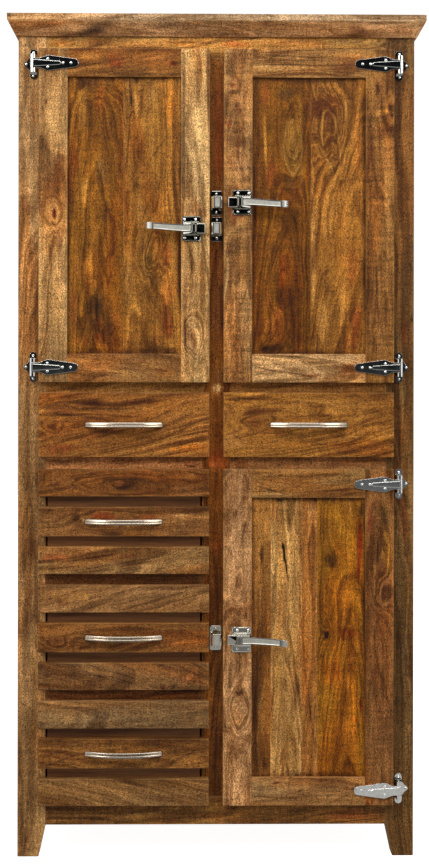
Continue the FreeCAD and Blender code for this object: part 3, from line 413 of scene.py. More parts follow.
def dress(points, faces, edge_wear_and_highlight, low, high, grain, seed, tone, heart, lean, look, marks, knots=()):
    """Gives a board's points their place in the log and their ground colour."""
    sizes = np.array(high) - np.array(low)
    along = "xyz".index(grain)
    others = [a for a in range(3) if a != along]
    # across is the wider of the two other sides; behind is the thickness
    across, behind = sorted(others, key=lambda a: -sizes[a])
    middle = (np.array(low) + np.array(high)) / 2
    run = points[:, along] - middle[along]
    log = np.zeros_like(points)
    log[:, 0] = points[:, across] - middle[across] - heart[0] / 1000 - lean[0] * run
    log[:, 1] = points[:, behind] - middle[behind] - heart[1] / 1000 - lean[1] * run
    log[:, 2] = run + seed * 7.31
    colour = np.tile(tint(*tone), (len(points), 1))
    reach = [0.05, 0.05, 0.05]
    reach[along] = 0.35
    light = waves(points, seed, reach)
    warm = waves(points, seed + 500, reach)
    colour *= (1 + 0.10 * light)[:, None]
    colour *= 1 + 0.05 * warm[:, None] * np.array([0.6, 0.0, -1.2])
    flat_a, flat_b = (0, 2) if grain in "xz" and sizes[1] <= max(sizes[0], 0.05) else (1, 2)
    long_reach = [0.016, 0.016, 0.016]
    long_reach[along] = 0.07
    sway, swing = waves(points, seed + 900, long_reach), waves(points, seed + 950, long_reach)
    for x, z, wide, tall, hill in knots:
        dx, dz = points[:, flat_a] * 1000 - x, points[:, flat_b] * 1000 - z
        d = (dx / wide + 0.1 * sway) ** 2 + (dz / tall + 0.1 * swing) ** 2
        log[:, 1] -= hill / 1000 * np.exp(-d)
    for x, z, wide, tall, turn, paint, strength, *more in marks:
        dx, dz = points[:, flat_a] * 1000 - x, points[:, flat_b] * 1000 - z
        cos, sin = math.cos(math.radians(turn)), math.sin(math.radians(turn))
        along_x, along_z = (dx * cos + dz * sin) / wide, (dz * cos - dx * sin) / tall
        d = (along_x + 0.16 * sway) ** 2 + (along_z + 0.16 * swing) ** 2
        if len(more) > 1:
            d = np.abs(np.sqrt(d) - 1) / more[1]
        share = np.clip((1 - d) / (more[0] if more else 1.0), 0, 1)
        # a soft step, broken up a little so that no patch is even
        share = 1.15 * strength * share * share * (3 - 2 * share) * np.clip(0.85 + 0.25 * swing, 0, 1.2)
        share = np.clip(share[:, None], 0, 1)
        colour = colour * (1 - share) + tint(*paint) * share
    looks = np.tile(np.array(look, float), (len(points), 1))
    return points, faces, log, np.clip(colour, 0.0, 1.5), looks, edge_wear_and_highlight


def wooden(name, body, stands_for, *planks):
    """Joins boards into one piece of a body, in place of CAD nodes."""
    points, faces, log, tone, look, edge_wear_and_highlight, first = [], [], [], [], [], [], 0
    for board in planks:
        points.append(board[0])
        faces.append(board[1] + first)
        log.append(board[2])
        tone.append(board[3])
        look.append(board[4])
        edge_wear_and_highlight.append(board[5])
        first += len(board[0])
    points, faces = np.concatenate(points), np.concatenate(faces)
    mesh = bpy.data.meshes.new(name)
    mesh.from_pydata(points.tolist(), [], faces.tolist())
    colours = np.concatenate(tone)
    tone = [np.concatenate([colours, np.ones((len(colours), 1))], 1)]
    for label, kind, field, values in (
        ("log", "FLOAT_VECTOR", "vector", log),
        ("look", "FLOAT_VECTOR", "vector", look),
        ("edge_wear_and_highlight", "FLOAT", "value", edge_wear_and_highlight),
        ("tone", "FLOAT_COLOR", "color", tone),
    ):
        layer = mesh.attributes.new(label, kind, "POINT")
        layer.data.foreach_set(field, np.concatenate(values).astype(np.float32).ravel())
    mesh.polygons.foreach_set("use_smooth", [True] * len(mesh.polygons))
    mesh.materials.append(oiled_wood)
    made = add(name, mesh)
    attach(made, body)
    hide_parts(*stands_for)
    return made


def tapered(board, low, high, inner, foot_top, cut):
    """Cuts the inside of a foot back below foot_top. inner is -1 if the inside is at low x, 1 at high x."""
    points = board[0]
    share = np.clip((foot_top - points[:, 2]) / foot_top, 0, 1)
    width = high - low
    if inner > 0:
        points[:, 0] = low + (points[:, 0] - low) * (1 - share * cut / width)
    else:
        points[:, 0] = high - (high - points[:, 0]) * (1 - share * cut / width)
    return board


# planes of the case in metres: its sides, front, back and tops, the inner faces of its posts, and
# how high and how deep their feet are tapered
CASE_SIDE, POST_INNER = 0.424, 0.364
FACE, FRONT_POST_BACK = -0.162, -0.120
REAR_POST_FRONT, CASE_BACK = 0.171, 0.213
POST_TOP, CASE_TOP = 1.782, 1.800
FOOT_TOP, FOOT_CUT = 0.068, 0.015
# its broad dark patches low down make the left post darker towards the floor: partly the wood's own colour,
# partly painted shade
left_post_marks = (
    (-390, 1620, 11, 64, 0, (184, 138, 88), 0.45), (-411, 1449, 11, 106, 0, (132, 88, 50), 0.45),
    (-398, 1278, 9, 85, 2, CHESTNUT, 0.45), (-411, 1128, 9, 64, 0, GOLD, 0.3),
    (-392, 1031, 11, 30, 0, (110, 70, 38), 0.45), (-403, 871, 3, 128, 0, UMBER, 0.45),
    (-392, 668, 6, 51, 0, (104, 64, 34), 0.5), (-407, 464, 13, 85, 0, (106, 70, 38), 0.5),
    (-416, 250, 9, 128, 0, (104, 76, 50), 0.5), (-403, 635, 34, 405, 0, (124, 84, 48), 0.55),
    (-403, 207, 34, 234, 0, (108, 74, 42), 0.6), (-398, 36, 21, 30, 0, (112, 66, 36), 0.5),
    (-405, 40, 3, 11, 0, EBONY, 0.4),
)
right_post_marks = (
    (408, 1136, 4, 9, 0, EBONY, 0.85, 0.6), (404, 1121, 13, 30, 0, (160, 100, 56), 0.55),
    (419, 1149, 3, 3, 0, EBONY, 0.9, 0.5), (395, 1535, 5, 128, 3, UMBER, 0.5),
    (413, 1599, 6, 85, 0, (140, 96, 56), 0.45), (417, 1385, 4, 128, -2, (140, 90, 50), 0.4),
    (398, 1256, 5, 94, 0, (78, 46, 24), 0.5), (413, 1256, 4, 64, 4, (146, 96, 54), 0.4),
    (406, 924, 13, 72, 0, (158, 104, 54), 0.55), (404, 732, 13, 55, 0, (122, 66, 40), 0.5),
    (415, 635, 9, 64, 0, (96, 74, 52), 0.4), (389, 464, 4, 256, 0, UMBER, 0.45),
    (406, 421, 17, 85, 0, (108, 80, 52), 0.45), (389, 331, 6, 15, 0, EBONY, 0.5),
    (402, 57, 17, 43, 0, (122, 84, 50), 0.45),
)
for side, name, marks, tone, seed in (
    (-1, "left", left_post_marks, (183, 143, 99), 3),
    (1, "right", right_post_marks, (122, 90, 52), 4),
):
    xs = sorted((side * POST_INNER, side * CASE_SIDE))
    for where, ys, extra, pitch in (
        ("front", (FACE, FRONT_POST_BACK), 0, 2.0),
        ("rear", (REAR_POST_FRONT, CASE_BACK), 10, 4.0),
    ):
        board = plank((xs[0], ys[0], 0), (xs[1], ys[1], POST_TOP), "z", seed + extra, tone,
                      (side * -18, 70), (0.012, 0.03), (0.85, 0.6, 0.12), marks, pitch=pitch)
        tapered(board, xs[0], xs[1], -side, FOOT_TOP, FOOT_CUT)
        wooden(f"{name}_{where}_post", "carcass", [f"{where}_posts"], board)

# Face frame
# Rails and a centre post between the front posts frame the doors and drawers. They are 22 mm thick
# and set flush with the posts; two short dividers part the slatted drawers.

FACE_BACK = -0.140
# half the width of the centre post
CENTRE = 0.030
# the heights of the rails in millimetres, at the front, the sides and the back
BOTTOM, LOW, HIGH, TOP = (68, 128), (815, 871), (978.5, 1030), (1711, 1782)
# its dark marks low down make the centre post darker towards the floor: partly the wood's own colour,
# partly painted shade
centre_marks = (
    (6, 1706, 19, 13, 0, (150, 100, 50), 0.5), (6, 1577, 17, 149, 0, (126, 58, 18), 0.6),
    (4, 1481, 13, 43, 0, (158, 68, 18), 0.5), (12, 1620, 3, 85, 2, EBONY, 0.5),
    (6, 1192, 19, 149, 0, (104, 68, 44), 0.6), (0, 1213, 3, 106, 0, UMBER, 0.5),
    (6, 1031, 19, 21, 0, (128, 90, 58), 0.5), (2, 1004, 17, 11, 0, (204, 162, 112), 0.7, 0.7),
    (2, 849, 26, 26, 0, (164, 80, 36), 0.7), (-3, 839, 6, 6, 0, (206, 134, 74), 0.6),
    (4, 668, 11, 30, 0, (128, 62, 24), 0.6), (4, 507, 17, 128, 0, (76, 50, 32), 0.5),
    (4, 293, 17, 170, 0, (74, 52, 36), 0.5), (6, 807, 13, 43, 0, (96, 56, 28), 0.4),
)
wooden("centre_post_board", "carcass", ["centre_post"],
       plank((-CENTRE, FACE, BOTTOM[1] / 1000), (CENTRE, FACE_BACK, TOP[0] / 1000), "z", 21, (125, 77, 28),
             (25, 40), (0.01, 0.02), (0.9, 0.7, 0.1), centre_marks, pitch=1.9))
top_marks = (
    (40, 1740, 38, 9, 0, (156, 80, 30), 0.6), (115, 1744, 64, 4, 0, RUST, 0.4),
    (-184, 1736, 34, 6, 0, (226, 180, 112), 0.6), (-334, 1740, 34, 11, 0, (196, 138, 60), 0.5),
    (368, 1738, 17, 11, 0, (96, 54, 28), 0.7), (286, 1736, 43, 6, 0, (206, 150, 74), 0.5),
    (-259, 1744, 47, 4, 3, (140, 84, 34), 0.5), (-77, 1740, 43, 4, -4, (214, 160, 80), 0.5),
    (-24, 1742, 17, 6, 0, (150, 92, 40), 0.4), (201, 1742, 47, 4, 0, (150, 88, 36), 0.4),
)
bottom_marks = (
    (297, 89, 60, 15, 0, (150, 88, 46), 0.65), (179, 96, 47, 11, 0, (70, 42, 26), 0.5),
    (-270, 83, 85, 9, 0, (112, 74, 42), 0.5), (30, 79, 85, 4, 6, (110, 70, 40), 0.4),
    (-120, 96, 64, 6, 0, (76, 48, 28), 0.4),
)
over_left = ((-313, 1004, 30, 9, 0, (90, 56, 26), 0.4), (-163, 1006, 64, 6, 0, (150, 104, 54), 0.35))
over_right = ((72, 1004, 30, 9, 0, (150, 94, 44), 0.35), (244, 1006, 64, 6, 0, (110, 70, 34), 0.35))
under_left = (
    (-334, 843, 34, 11, 0, (104, 72, 50), 0.5), (-206, 847, 51, 9, 4, (160, 94, 60), 0.5),
    (-56, 843, 43, 11, 0, (170, 92, 48), 0.6), (-54, 835, 13, 3, 0, EBONY, 0.8),
    (-99, 852, 64, 3, 0, (190, 120, 70), 0.4),
)
under_right = (
    (51, 843, 30, 11, 0, (160, 92, 48), 0.5), (179, 841, 64, 6, 0, (120, 74, 40), 0.4),
    (286, 845, 43, 9, 0, (150, 90, 50), 0.4),
)
rails = (
    ("bottom_rail", -POST_INNER, POST_INNER, BOTTOM, (143, 101, 53), 22, bottom_marks),
    ("top_rail", -POST_INNER, POST_INNER, TOP, (182, 143, 85), 23, top_marks),
    ("left_rail_under_drawer", -POST_INNER, -CENTRE, LOW, (200, 139, 91), 24, under_left),
    ("right_rail_under_drawer", CENTRE, POST_INNER, LOW, (163, 116, 75), 25, under_right),
    ("left_rail_over_drawer", -POST_INNER, -CENTRE, HIGH, (166, 121, 66), 26, over_left),
    ("right_rail_over_drawer", CENTRE, POST_INNER, HIGH, (176, 127, 72), 27, over_right),
)
for name, x0, x1, (z0, z1), tone, seed, marks in rails:
    wooden(name, "carcass", ["front_rails"],
           plank((x0, FACE, z0 / 1000), (x1, FACE_BACK, z1 / 1000), "x", seed, tone, (20, 55),
                 (0.02, 0.05), (0.9, 0.6, 0.15), marks, pitch=1.8))
for name, z0, z1, seed in (("lower_divider", 321, 375, 28), ("upper_divider", 568, 622, 29)):
    wooden(name, "carcass", ["drawer_dividers"],
           plank((-POST_INNER, FACE, z0 / 1000), (-CENTRE, FACE_BACK, z1 / 1000), "x", seed,
                 (112, 72, 40), (20, 55), (0.02, 0.05)))

# Sides and back
# Each side is two thin panels that float in grooves between three rails. The back has four rails,
# and behind them two wide panels of thin boards, held in rebates of the rear posts.

# the rails' inner face, and the outer face of the panels in their grooves
SIDE_INNER, PANEL_OUTER = 0.406, 0.41575
for side, word in ((-1, "left"), (1, "right")):
    xs = sorted((side * SIDE_INNER, side * CASE_SIDE))
    for name, (z0, z1), seed in (("bottom", BOTTOM, 31), ("middle", HIGH, 32), ("top", TOP, 33)):
        low, high = (xs[0], FRONT_POST_BACK, z0 / 1000), (xs[1], REAR_POST_FRONT, z1 / 1000)
        wooden(f"{word}_side_{name}_rail", "carcass", ["side_rails"],
               plank(low, high, "y", seed + side * 40 + 50, (138, 94, 56), (15, 50), (0.03, 0.05)))
    ps = sorted((side * SIDE_INNER, side * PANEL_OUTER))
    for name, z0, z1, seed in (("lower", 120.3, 986.2, 34), ("upper", 1022.3, 1718.8, 35)):
        parts = []
        for k, (y0, y1, tone) in enumerate((
            (-127.7, -30, (140, 96, 54)), (-30, 82, (124, 80, 42)), (82, 178.7, (152, 106, 62)),
        )):
            low, high = (ps[0], y0 / 1000, z0 / 1000), (ps[1], y1 / 1000, z1 / 1000)
            parts.append(plank(low, high, "z", seed + side * 40 + 60 + 100 * k, tone, (20 - 30 * k, 50),
                               (0.02, 0.06), (0.9, 0.5, 0.15), edge=0.4, pitch=6.0))
        wooden(f"{word}_side_{name}_panel", "carcass", ["side_panels"], *parts)
# the back rails and, behind them, the back panels
RAIL_FRONT, RAIL_BACK = 0.189, 0.207
for name, (z0, z1), seed in (
    ("lowest", BOTTOM, 91), ("low", LOW, 92), ("high", HIGH, 93), ("top", TOP, 94),
):
    wooden(f"back_rail_{name}", "carcass", ["back_rails"],
           plank((-POST_INNER, RAIL_FRONT, z0 / 1000), (POST_INNER, RAIL_BACK, z1 / 1000), "x", seed,
                 (132, 92, 56), (10, 60), (0.02, 0.05)))
for name, z0, z1, seed in (("lower", 68, 1004.25, 95), ("upper", 1004.25, 1782, 96)):
    parts = []
    for k in range(5):
        x0, x1 = -374 + 149.6 * k, -374 + 149.6 * (k + 1)
        shade = k % 3
        tone = (150 - 8 * shade, 108 - 7 * shade, 70 - 5 * shade)
        low, high = (x0 / 1000, RAIL_BACK, z0 / 1000), (x1 / 1000, CASE_BACK, z1 / 1000)
        parts.append(plank(low, high, "z", seed + 20 * k, tone, (-20 + 12 * k, 60), (0.01, 0.05),
                           (0.8, 0.4, 0.1), edge=0.4, pitch=12))
    made = wooden(f"back_panel_{name}", "carcass", ["back_panels"], *parts)

# Top board and crown
# The top board closes the case. Three mitred lengths of moulding run round its front and sides: a
# small step, a sloping face that leans out, and an upright lip.

parts = []
for k, (y0, y1) in enumerate(((FACE, -0.03), (-0.03, 0.09), (0.09, CASE_BACK))):
    low, high = (-CASE_SIDE, y0, POST_TOP), (CASE_SIDE, y1, CASE_TOP)
    tone = (150 - 10 * k, 106 - 8 * k, 64 - 6 * k)
    parts.append(plank(low, high, "x", 101 + k, tone, (10 - 20 * k, 60), (0.01, 0.04), edge=0.5, pitch=6.0))
wooden("top_boards", "carcass", ["top_board"], *parts)


# heights of the moulding's foot and of its lip, and how far its step and its lip stand out
CROWN_FOOT, LIP_FOOT = 1.754, 1.787
CROWN_STEP, CROWN_REACH = 0.005, 0.023


def moulding(start, end, out, seed, tone, lip_tone, marks, mitres):
    """A length of crown between two corners of the case. mitres are 1 where an end is cut at 45 degrees."""
    rise, run_out = LIP_FOOT - CROWN_FOOT, CROWN_REACH - CROWN_STEP
    shape = [(0, CROWN_FOOT), (CROWN_STEP, CROWN_FOOT)]
    shape += [(CROWN_STEP + run_out * t, CROWN_FOOT + rise * t) for t in np.linspace(0, 1, 8)[1:]]
    shape += [(CROWN_REACH, z) for z in np.linspace(LIP_FOOT, CASE_TOP, 4)[1:]] + [(0, CASE_TOP)]
    start, end, out = np.array(start, float), np.array(end, float), np.array(out, float)
    way = (end - start) / np.linalg.norm(end - start)
    length = np.linalg.norm(end - start)
    count = int(length / 0.006)
    points, edge_wear_and_highlight, on_lip = [], [], []
    for i in range(count + 1):
        for reach, z in shape:
            a, b = -reach * mitres[0], length + reach * mitres[1]
            run = a + (b - a) * i / count
            points.append(start + way * run + out * reach + np.array([0, 0, z]))
            at_front = reach > CROWN_REACH - 0.0005
            # the lip's front edges are painted paler, as wear and as a painted highlight
            edge_wear_and_highlight.append(1.0 if at_front and (z > CASE_TOP - 0.001 or abs(z - LIP_FOOT) < 0.001) else 0.0)
            on_lip.append(1.0 if z > LIP_FOOT + 0.0001 or (at_front and z > LIP_FOOT - 0.001) else 0.0)
    points, rim = np.array(points), len(shape)
    faces = []
    for i in range(count):
        for k in range(rim):
            m = (k + 1) % rim
            faces.append((i * rim + k, i * rim + m, (i + 1) * rim + m, (i + 1) * rim + k))
    faces = np.array(faces)
    # which way the quads face depends on the way the length runs
    mid = points[faces].mean(1)
    normal = np.cross(points[faces[:, 1]] - points[faces[:, 0]], points[faces[:, 3]] - points[faces[:, 0]])
    # a place inside the moulding, behind its sloping face
    centre = (start + end) / 2 + out * 0.010 + np.array([0, 0, 1.785])
    if np.sum(np.einsum("ij,ij->i", normal, mid - centre) > 0) < len(faces) / 2:
        faces = faces[:, ::-1]
    grain = "x" if abs(way[0]) > 0.5 else "y"
    board = dress(points, faces, np.array(edge_wear_and_highlight), points.min(0), points.max(0), grain, seed, tone, (30, 60),
                  (0.03, 0.04), (0.9, 0.6, 0.1), marks)
    share = np.array(on_lip)[:, None]
    board = list(board)
    # the lip keeps the board's own light and dark
    lip = tint(*lip_tone) * (board[3].mean(1) / board[3].mean())[:, None]
    board[3] = board[3] * (1 - share) + lip * share
    return tuple(board)


def capped(made):
    """Closes the open ends of a length of moulding."""
    mesh = bmesh.new()
    mesh.from_mesh(made.data)
    bmesh.ops.holes_fill(mesh, edges=[e for e in mesh.edges if e.is_boundary], sides=0)
    bmesh.ops.recalc_face_normals(mesh, faces=mesh.faces)
    for face in mesh.faces:
        if len(face.verts) > 4:
            face.smooth = False
    mesh.to_mesh(made.data)
    mesh.free()


crown_marks = (
    (-259, 1770, 72, 13, 20, (88, 64, 50), 0.7), (-345, 1777, 34, 11, 10, (170, 116, 70), 0.5),
    (-182, 1792, 6, 4, 0, EBONY, 0.8), (-45, 1783, 38, 6, 10, (182, 122, 72), 0.55),
    (-120, 1770, 47, 3, 22, UMBER, 0.6), (-73, 1766, 47, 3, 22, UMBER, 0.55),
    (-163, 1764, 34, 3, 24, UMBER, 0.5), (51, 1768, 68, 9, 6, (172, 118, 72), 0.45),
    (299, 1768, 32, 17, 0, (104, 58, 34), 0.65), (346, 1783, 26, 3, 0, UMBER, 0.5),
    (398, 1770, 30, 13, 0, (158, 106, 68), 0.5), (179, 1774, 55, 4, 4, (108, 70, 44), 0.45),
    (-441, 1798, 13, 11, 0, (126, 72, 44), 0.65), (-334, 1796, 47, 2, 0, (140, 80, 48), 0.6),
    (-206, 1798, 85, 2, 0, (166, 110, 70), 0.5), (72, 1796, 106, 2, 0, (160, 112, 76), 0.5),
    (286, 1796, 64, 2, 0, (214, 176, 130), 0.5),
)
for name, start, end, out, mitres, seed in (
    ("crown_front", (-CASE_SIDE, FACE, 0), (CASE_SIDE, FACE, 0), (0, -1, 0), (1, 1), 111),
    ("crown_left", (-CASE_SIDE, CASE_BACK, 0), (-CASE_SIDE, FACE, 0), (-1, 0, 0), (0, 1), 112),
    ("crown_right", (CASE_SIDE, FACE, 0), (CASE_SIDE, CASE_BACK, 0), (1, 0, 0), (1, 0), 113),
):
    marks = crown_marks if name == "crown_front" else ()
    board = moulding(start, end, out, seed, (177, 133, 95), (194, 164, 136), marks, mitres)
    made = wooden(name, "carcass", ["crown_moulding"], board)
    capped(made)
    split = made.modifiers.new("crisp", "EDGE_SPLIT")
    split.split_angle = math.radians(28)

# Doors
# Each door is a frame of two stiles and two rails, 61 mm wide, round a panel of boards glued edge to
# edge that floats in a groove. The panel lies 7 mm behind the frame.


# faces of the door frames and drawer fronts, and the edges of the left and right columns of them
DOOR_FRONT, DOOR_BACK = -0.183, -0.163
OUTER, INNER = 0.379, 0.015
FRAME_WIDTH = 0.061


def door(body, x_low, x_high, z_low, z_high, stiles, rails, boards):
    """One framed door. stiles are the left and right one, rails the top and bottom one."""
    x_left, x_right = x_low + FRAME_WIDTH, x_high - FRAME_WIDTH
    spots = (
        ("left_stile", (x_low, z_low), (x_left, z_high), "z", stiles[0]),
        ("right_stile", (x_right, z_low), (x_high, z_high), "z", stiles[1]),
        ("top_rail", (x_left, z_high - FRAME_WIDTH), (x_right, z_high), "x", rails[0]),
        ("bottom_rail", (x_left, z_low), (x_right, z_low + FRAME_WIDTH), "x", rails[1]),
    )
    for name, a, b, grain, facts in spots:
        wooden(
            f"{body}_{name}", body, [f"{body}_frame"],
            plank((a[0], DOOR_FRONT, a[1]), (b[0], DOOR_BACK, b[1]), grain, edge=1.4, pitch=1.6, **facts),
        )
    low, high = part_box(f"{body}_panel")
    parts, edges = [], [low.x, *[b["until"] for b in boards[:-1]], high.x]
    for k, facts in enumerate(boards):
        facts = {key: value for key, value in facts.items() if key != "until"}
        a, b = (edges[k], low.y, low.z), (edges[k + 1], high.y, high.z)
        parts.append(plank(a, b, "z", edge=0.35, pitch=1.6, **facts))
    wooden(f"{body}_panel_boards", body, [f"{body}_panel"], *parts)


def shaded(x_low, x_high, z_low, z_high):
    """Dark bands painted along the frame round a panel: oil and dirt that gather there, and painted shade
    where the frame stands proud of the sunk panel.
    """
    x, z = (x_low + x_high) / 2, (z_low + z_high) / 2
    wide, tall = (x_high - x_low) / 2, (z_high - z_low) / 2
    return (
        (x, z_high, wide * 1.3, 13, 0, (70, 38, 18), 0.7), (x, z_low, wide * 1.3, 13, 0, (70, 38, 18), 0.7),
        (x_low, z, 10, tall * 1.2, 0, (80, 44, 20), 0.65), (x_high, z, 9, tall * 1.2, 0, (80, 44, 20), 0.6),
    )


# dark bands of dirt and painted shade round each panel
grime_and_shade = shaded(-318, -76, 1076, 1665)
door(
    "upper_left_door", -OUTER, -INNER, 1.015, 1.726,
    stiles=(
        dict(
            seed=121, knots=((-346, 1374, 17, 30, 20),), tone=(183, 143, 97), heart=(5, 90),
            lean=(0.01, 0.05),
            marks=(
                (-354, 1592, 34, 170, 0, (216, 168, 114), 0.3),
                (-354, 1708, 30, 26, 0, (208, 150, 84), 0.5),
                (-363, 1612, 3, 7, 0, (110, 50, 24), 0.85, 0.6),
                (-346, 1374, 6, 14, 0, (120, 48, 22), 0.9, 0.6), (-345, 1380, 3, 9, 0, EBONY, 0.75),
                (-360, 1468, 9, 72, 3, GREY_BROWN, 0.45), (-333, 1565, 15, 53, 0, HONEY, 0.4),
                (-331, 1425, 11, 64, 0, GOLD, 0.35), (-354, 1284, 6, 60, -12, (126, 78, 42), 0.55),
                (-339, 1186, 19, 77, 0, (206, 158, 100), 0.5), (-329, 1100, 13, 43, 0, HONEY, 0.4),
                (-371, 1340, 5, 85, 0, CHESTNUT, 0.4), (-333, 1323, 9, 38, 0, (140, 92, 54), 0.45),
                (-367, 1126, 4, 85, 4, TAN, 0.4),
            ),
        ),
        dict(
            seed=122, knots=((-56, 1109, 26, 55, 26),), tone=(197, 156, 106), heart=(-15, 80),
            lean=(0.01, 0.04),
            marks=(
                (-71, 1672, 6, 51, 0, UMBER, 0.7), (-72, 1511, 6, 202, 0, (86, 56, 34), 0.75, 0.7),
                (-54, 1672, 11, 51, 0, (228, 190, 136), 0.6), (-43, 1554, 15, 102, 0, (226, 188, 134), 0.5),
                (-22, 1699, 15, 26, 0, (150, 106, 62), 0.65), (-16, 1586, 4, 128, 0, (130, 86, 46), 0.6),
                (-30, 1652, 3, 51, 8, (140, 96, 56), 0.5), (-47, 1387, 17, 30, 0, (196, 122, 62), 0.35),
                (-28, 1376, 11, 15, 0, (140, 64, 30), 0.5), (-66, 1190, 6, 170, 0, (126, 82, 48), 0.5),
                (-33, 1241, 11, 55, 0, (216, 164, 98), 0.6), (-64, 1271, 6, 34, 0, HONEY, 0.45),
                (-52, 1263, 7, 23, 0, (120, 72, 38), 0.6), (-43, 1190, 4, 85, 4, (128, 82, 46), 0.45),
                (-56, 1109, 17, 51, 5, (116, 66, 32), 0.7), (-67, 1126, 4, 43, 0, EBONY, 0.7),
                (-28, 1115, 6, 51, 3, TAN, 0.5), (-39, 1038, 19, 19, 0, HONEY, 0.5),
                (-62, 1051, 6, 30, 0, (130, 86, 48), 0.5),
            ),
        ),
    ),
    rails=(
        dict(
            seed=123, tone=(131, 87, 38), heart=(10, 60), lean=(0.06, 0.06),
            marks=(
                (-219, 1699, 23, 19, 0, (122, 52, 22), 0.6), (-92, 1695, 11, 6, 0, (96, 26, 8), 0.9, 0.7),
                (-83, 1695, 15, 4, 0, EBONY, 0.6), (-274, 1710, 30, 9, 0, (176, 124, 64), 0.5),
                (-164, 1704, 51, 3, 12, (94, 52, 26), 0.5), (-185, 1687, 64, 3, 12, (100, 58, 30), 0.5),
                (-121, 1708, 43, 6, 10, (182, 124, 66), 0.45), (-117, 1678, 30, 9, 4, (190, 134, 72), 0.5),
                (-295, 1687, 19, 15, 0, (120, 78, 44), 0.5),
            ),
        ),
        dict(
            seed=124, tone=(151, 107, 61), heart=(-10, 60), lean=(-0.05, 0.06),
            marks=(
                (-157, 1059, 9, 5, 35, (110, 40, 18), 0.7), (-278, 1061, 26, 11, 0, (196, 144, 86), 0.4),
                (-111, 1036, 34, 13, 0, (178, 112, 48), 0.45), (-206, 1044, 64, 3, 4, (104, 62, 34), 0.5),
                (-248, 1027, 55, 3, 2, (110, 66, 36), 0.4), (-185, 1070, 64, 4, 0, (190, 130, 74), 0.35),
            ),
        ),
    ),
    boards=(
        dict(
            until=-0.199, seed=125, knots=((-231, 1151, 64, 128, 30), (-265, 1652, 55, 34, 25)),
            tone=(135, 88, 24), heart=(20, 60), lean=(0.02, 0.08),
            marks=grime_and_shade + (
                (-265, 1652, 51, 19, 0, (74, 42, 18), 0.65), (-288, 1597, 13, 51, 0, (196, 142, 66), 0.6),
                (-248, 1622, 15, 38, 0, (160, 84, 26), 0.55), (-269, 1597, 6, 51, 2, (90, 56, 22), 0.5),
                (-231, 1550, 19, 28, 0, (104, 60, 24), 0.5), (-303, 1483, 11, 43, 0, (110, 52, 18), 0.65),
                (-282, 1425, 15, 43, 0, (196, 140, 62), 0.55), (-246, 1464, 19, 47, 0, (122, 92, 54), 0.45),
                (-238, 1374, 21, 23, 0, (84, 52, 20), 0.5), (-212, 1447, 6, 106, 0, (160, 106, 44), 0.45),
                (-261, 1335, 9, 43, 0, (160, 104, 40), 0.45), (-223, 1308, 6, 55, 0, (88, 52, 20), 0.45),
                (-267, 1254, 26, 58, 4, (190, 122, 46), 0.6, 0.8),
                (-295, 1271, 9, 43, 0, (172, 114, 48), 0.5), (-303, 1173, 15, 72, 0, (80, 42, 18), 0.65),
                (-301, 1190, 5, 26, 0, (150, 84, 40), 0.45), (-253, 1181, 26, 34, -14, (66, 42, 18), 0.8),
                (-240, 1151, 28, 43, 12, (62, 40, 17), 0.8), (-265, 1134, 15, 34, 0, (68, 40, 17), 0.8),
                (-225, 1126, 17, 38, -16, (66, 36, 15), 0.8), (-274, 1156, 5, 43, 0, (150, 96, 40), 0.5),
                (-253, 1117, 34, 6, 30, (70, 38, 16), 0.6), (-240, 1177, 6, 15, 0, (140, 92, 44), 0.5),
                (-250, 1143, 4, 15, 10, (150, 66, 26), 0.5), (-212, 1151, 11, 21, 0, (180, 112, 48), 0.55),
                (-219, 1100, 26, 26, 0, (76, 34, 12), 0.7), (-286, 1106, 21, 17, 0, (168, 100, 36), 0.5),
                (-253, 1113, 19, 13, 0, (120, 58, 22), 0.5),
            ),
        ),
        dict(
            seed=126, knots=((-140, 1284, 38, 77, 34), (-162, 1511, 30, 98, 16)), tone=(155, 106, 44),
            heart=(-30, 70), lean=(0.0, 0.05),
            marks=grime_and_shade + (
                (-184, 1631, 4, 38, 4, EBONY, 0.9, 0.8), (-186, 1558, 3, 51, -5, (66, 34, 14), 0.8),
                (-191, 1490, 3, 38, -4, UMBER, 0.6), (-159, 1618, 11, 43, 3, (84, 40, 16), 0.65),
                (-172, 1610, 5, 51, 2, (214, 158, 84), 0.65), (-140, 1629, 15, 34, 0, (176, 128, 72), 0.5),
                (-98, 1607, 15, 60, 0, (192, 120, 42), 0.55), (-124, 1515, 60, 3, 55, (80, 44, 18), 0.6),
                (-149, 1421, 58, 3, 62, (90, 54, 24), 0.5), (-104, 1443, 38, 3, -58, (90, 54, 24), 0.45),
                (-162, 1468, 26, 51, 0, (116, 84, 40), 0.5), (-113, 1404, 21, 55, 0, (190, 124, 50), 0.4),
                (-164, 1372, 13, 43, 0, (176, 126, 66), 0.4), (-140, 1271, 19, 38, 0, (106, 78, 34), 0.6),
                (-140, 1280, 26, 47, 0, (80, 46, 20), 0.4, 1, 0.14),
                (-138, 1258, 34, 72, 0, (80, 46, 18), 0.4, 1, 0.08),
                (-107, 1288, 13, 47, 0, (150, 76, 28), 0.6),
                (-104, 1213, 17, 47, 0, (200, 122, 50), 0.6, 0.8),
                (-107, 1149, 17, 43, 0, (110, 48, 16), 0.7), (-187, 1237, 9, 68, 0, (190, 140, 82), 0.55),
                (-170, 1151, 26, 60, 0, (206, 148, 70), 0.6), (-143, 1190, 9, 51, 0, (120, 74, 30), 0.5),
                (-126, 1109, 17, 30, 0, (140, 84, 34), 0.5), (-121, 1083, 43, 11, 0, (50, 20, 10), 0.7),
                (-85, 1361, 9, 256, 0, (112, 66, 28), 0.55), (-111, 1672, 43, 17, 0, (110, 66, 28), 0.4),
            ),
        ),
    ),
)
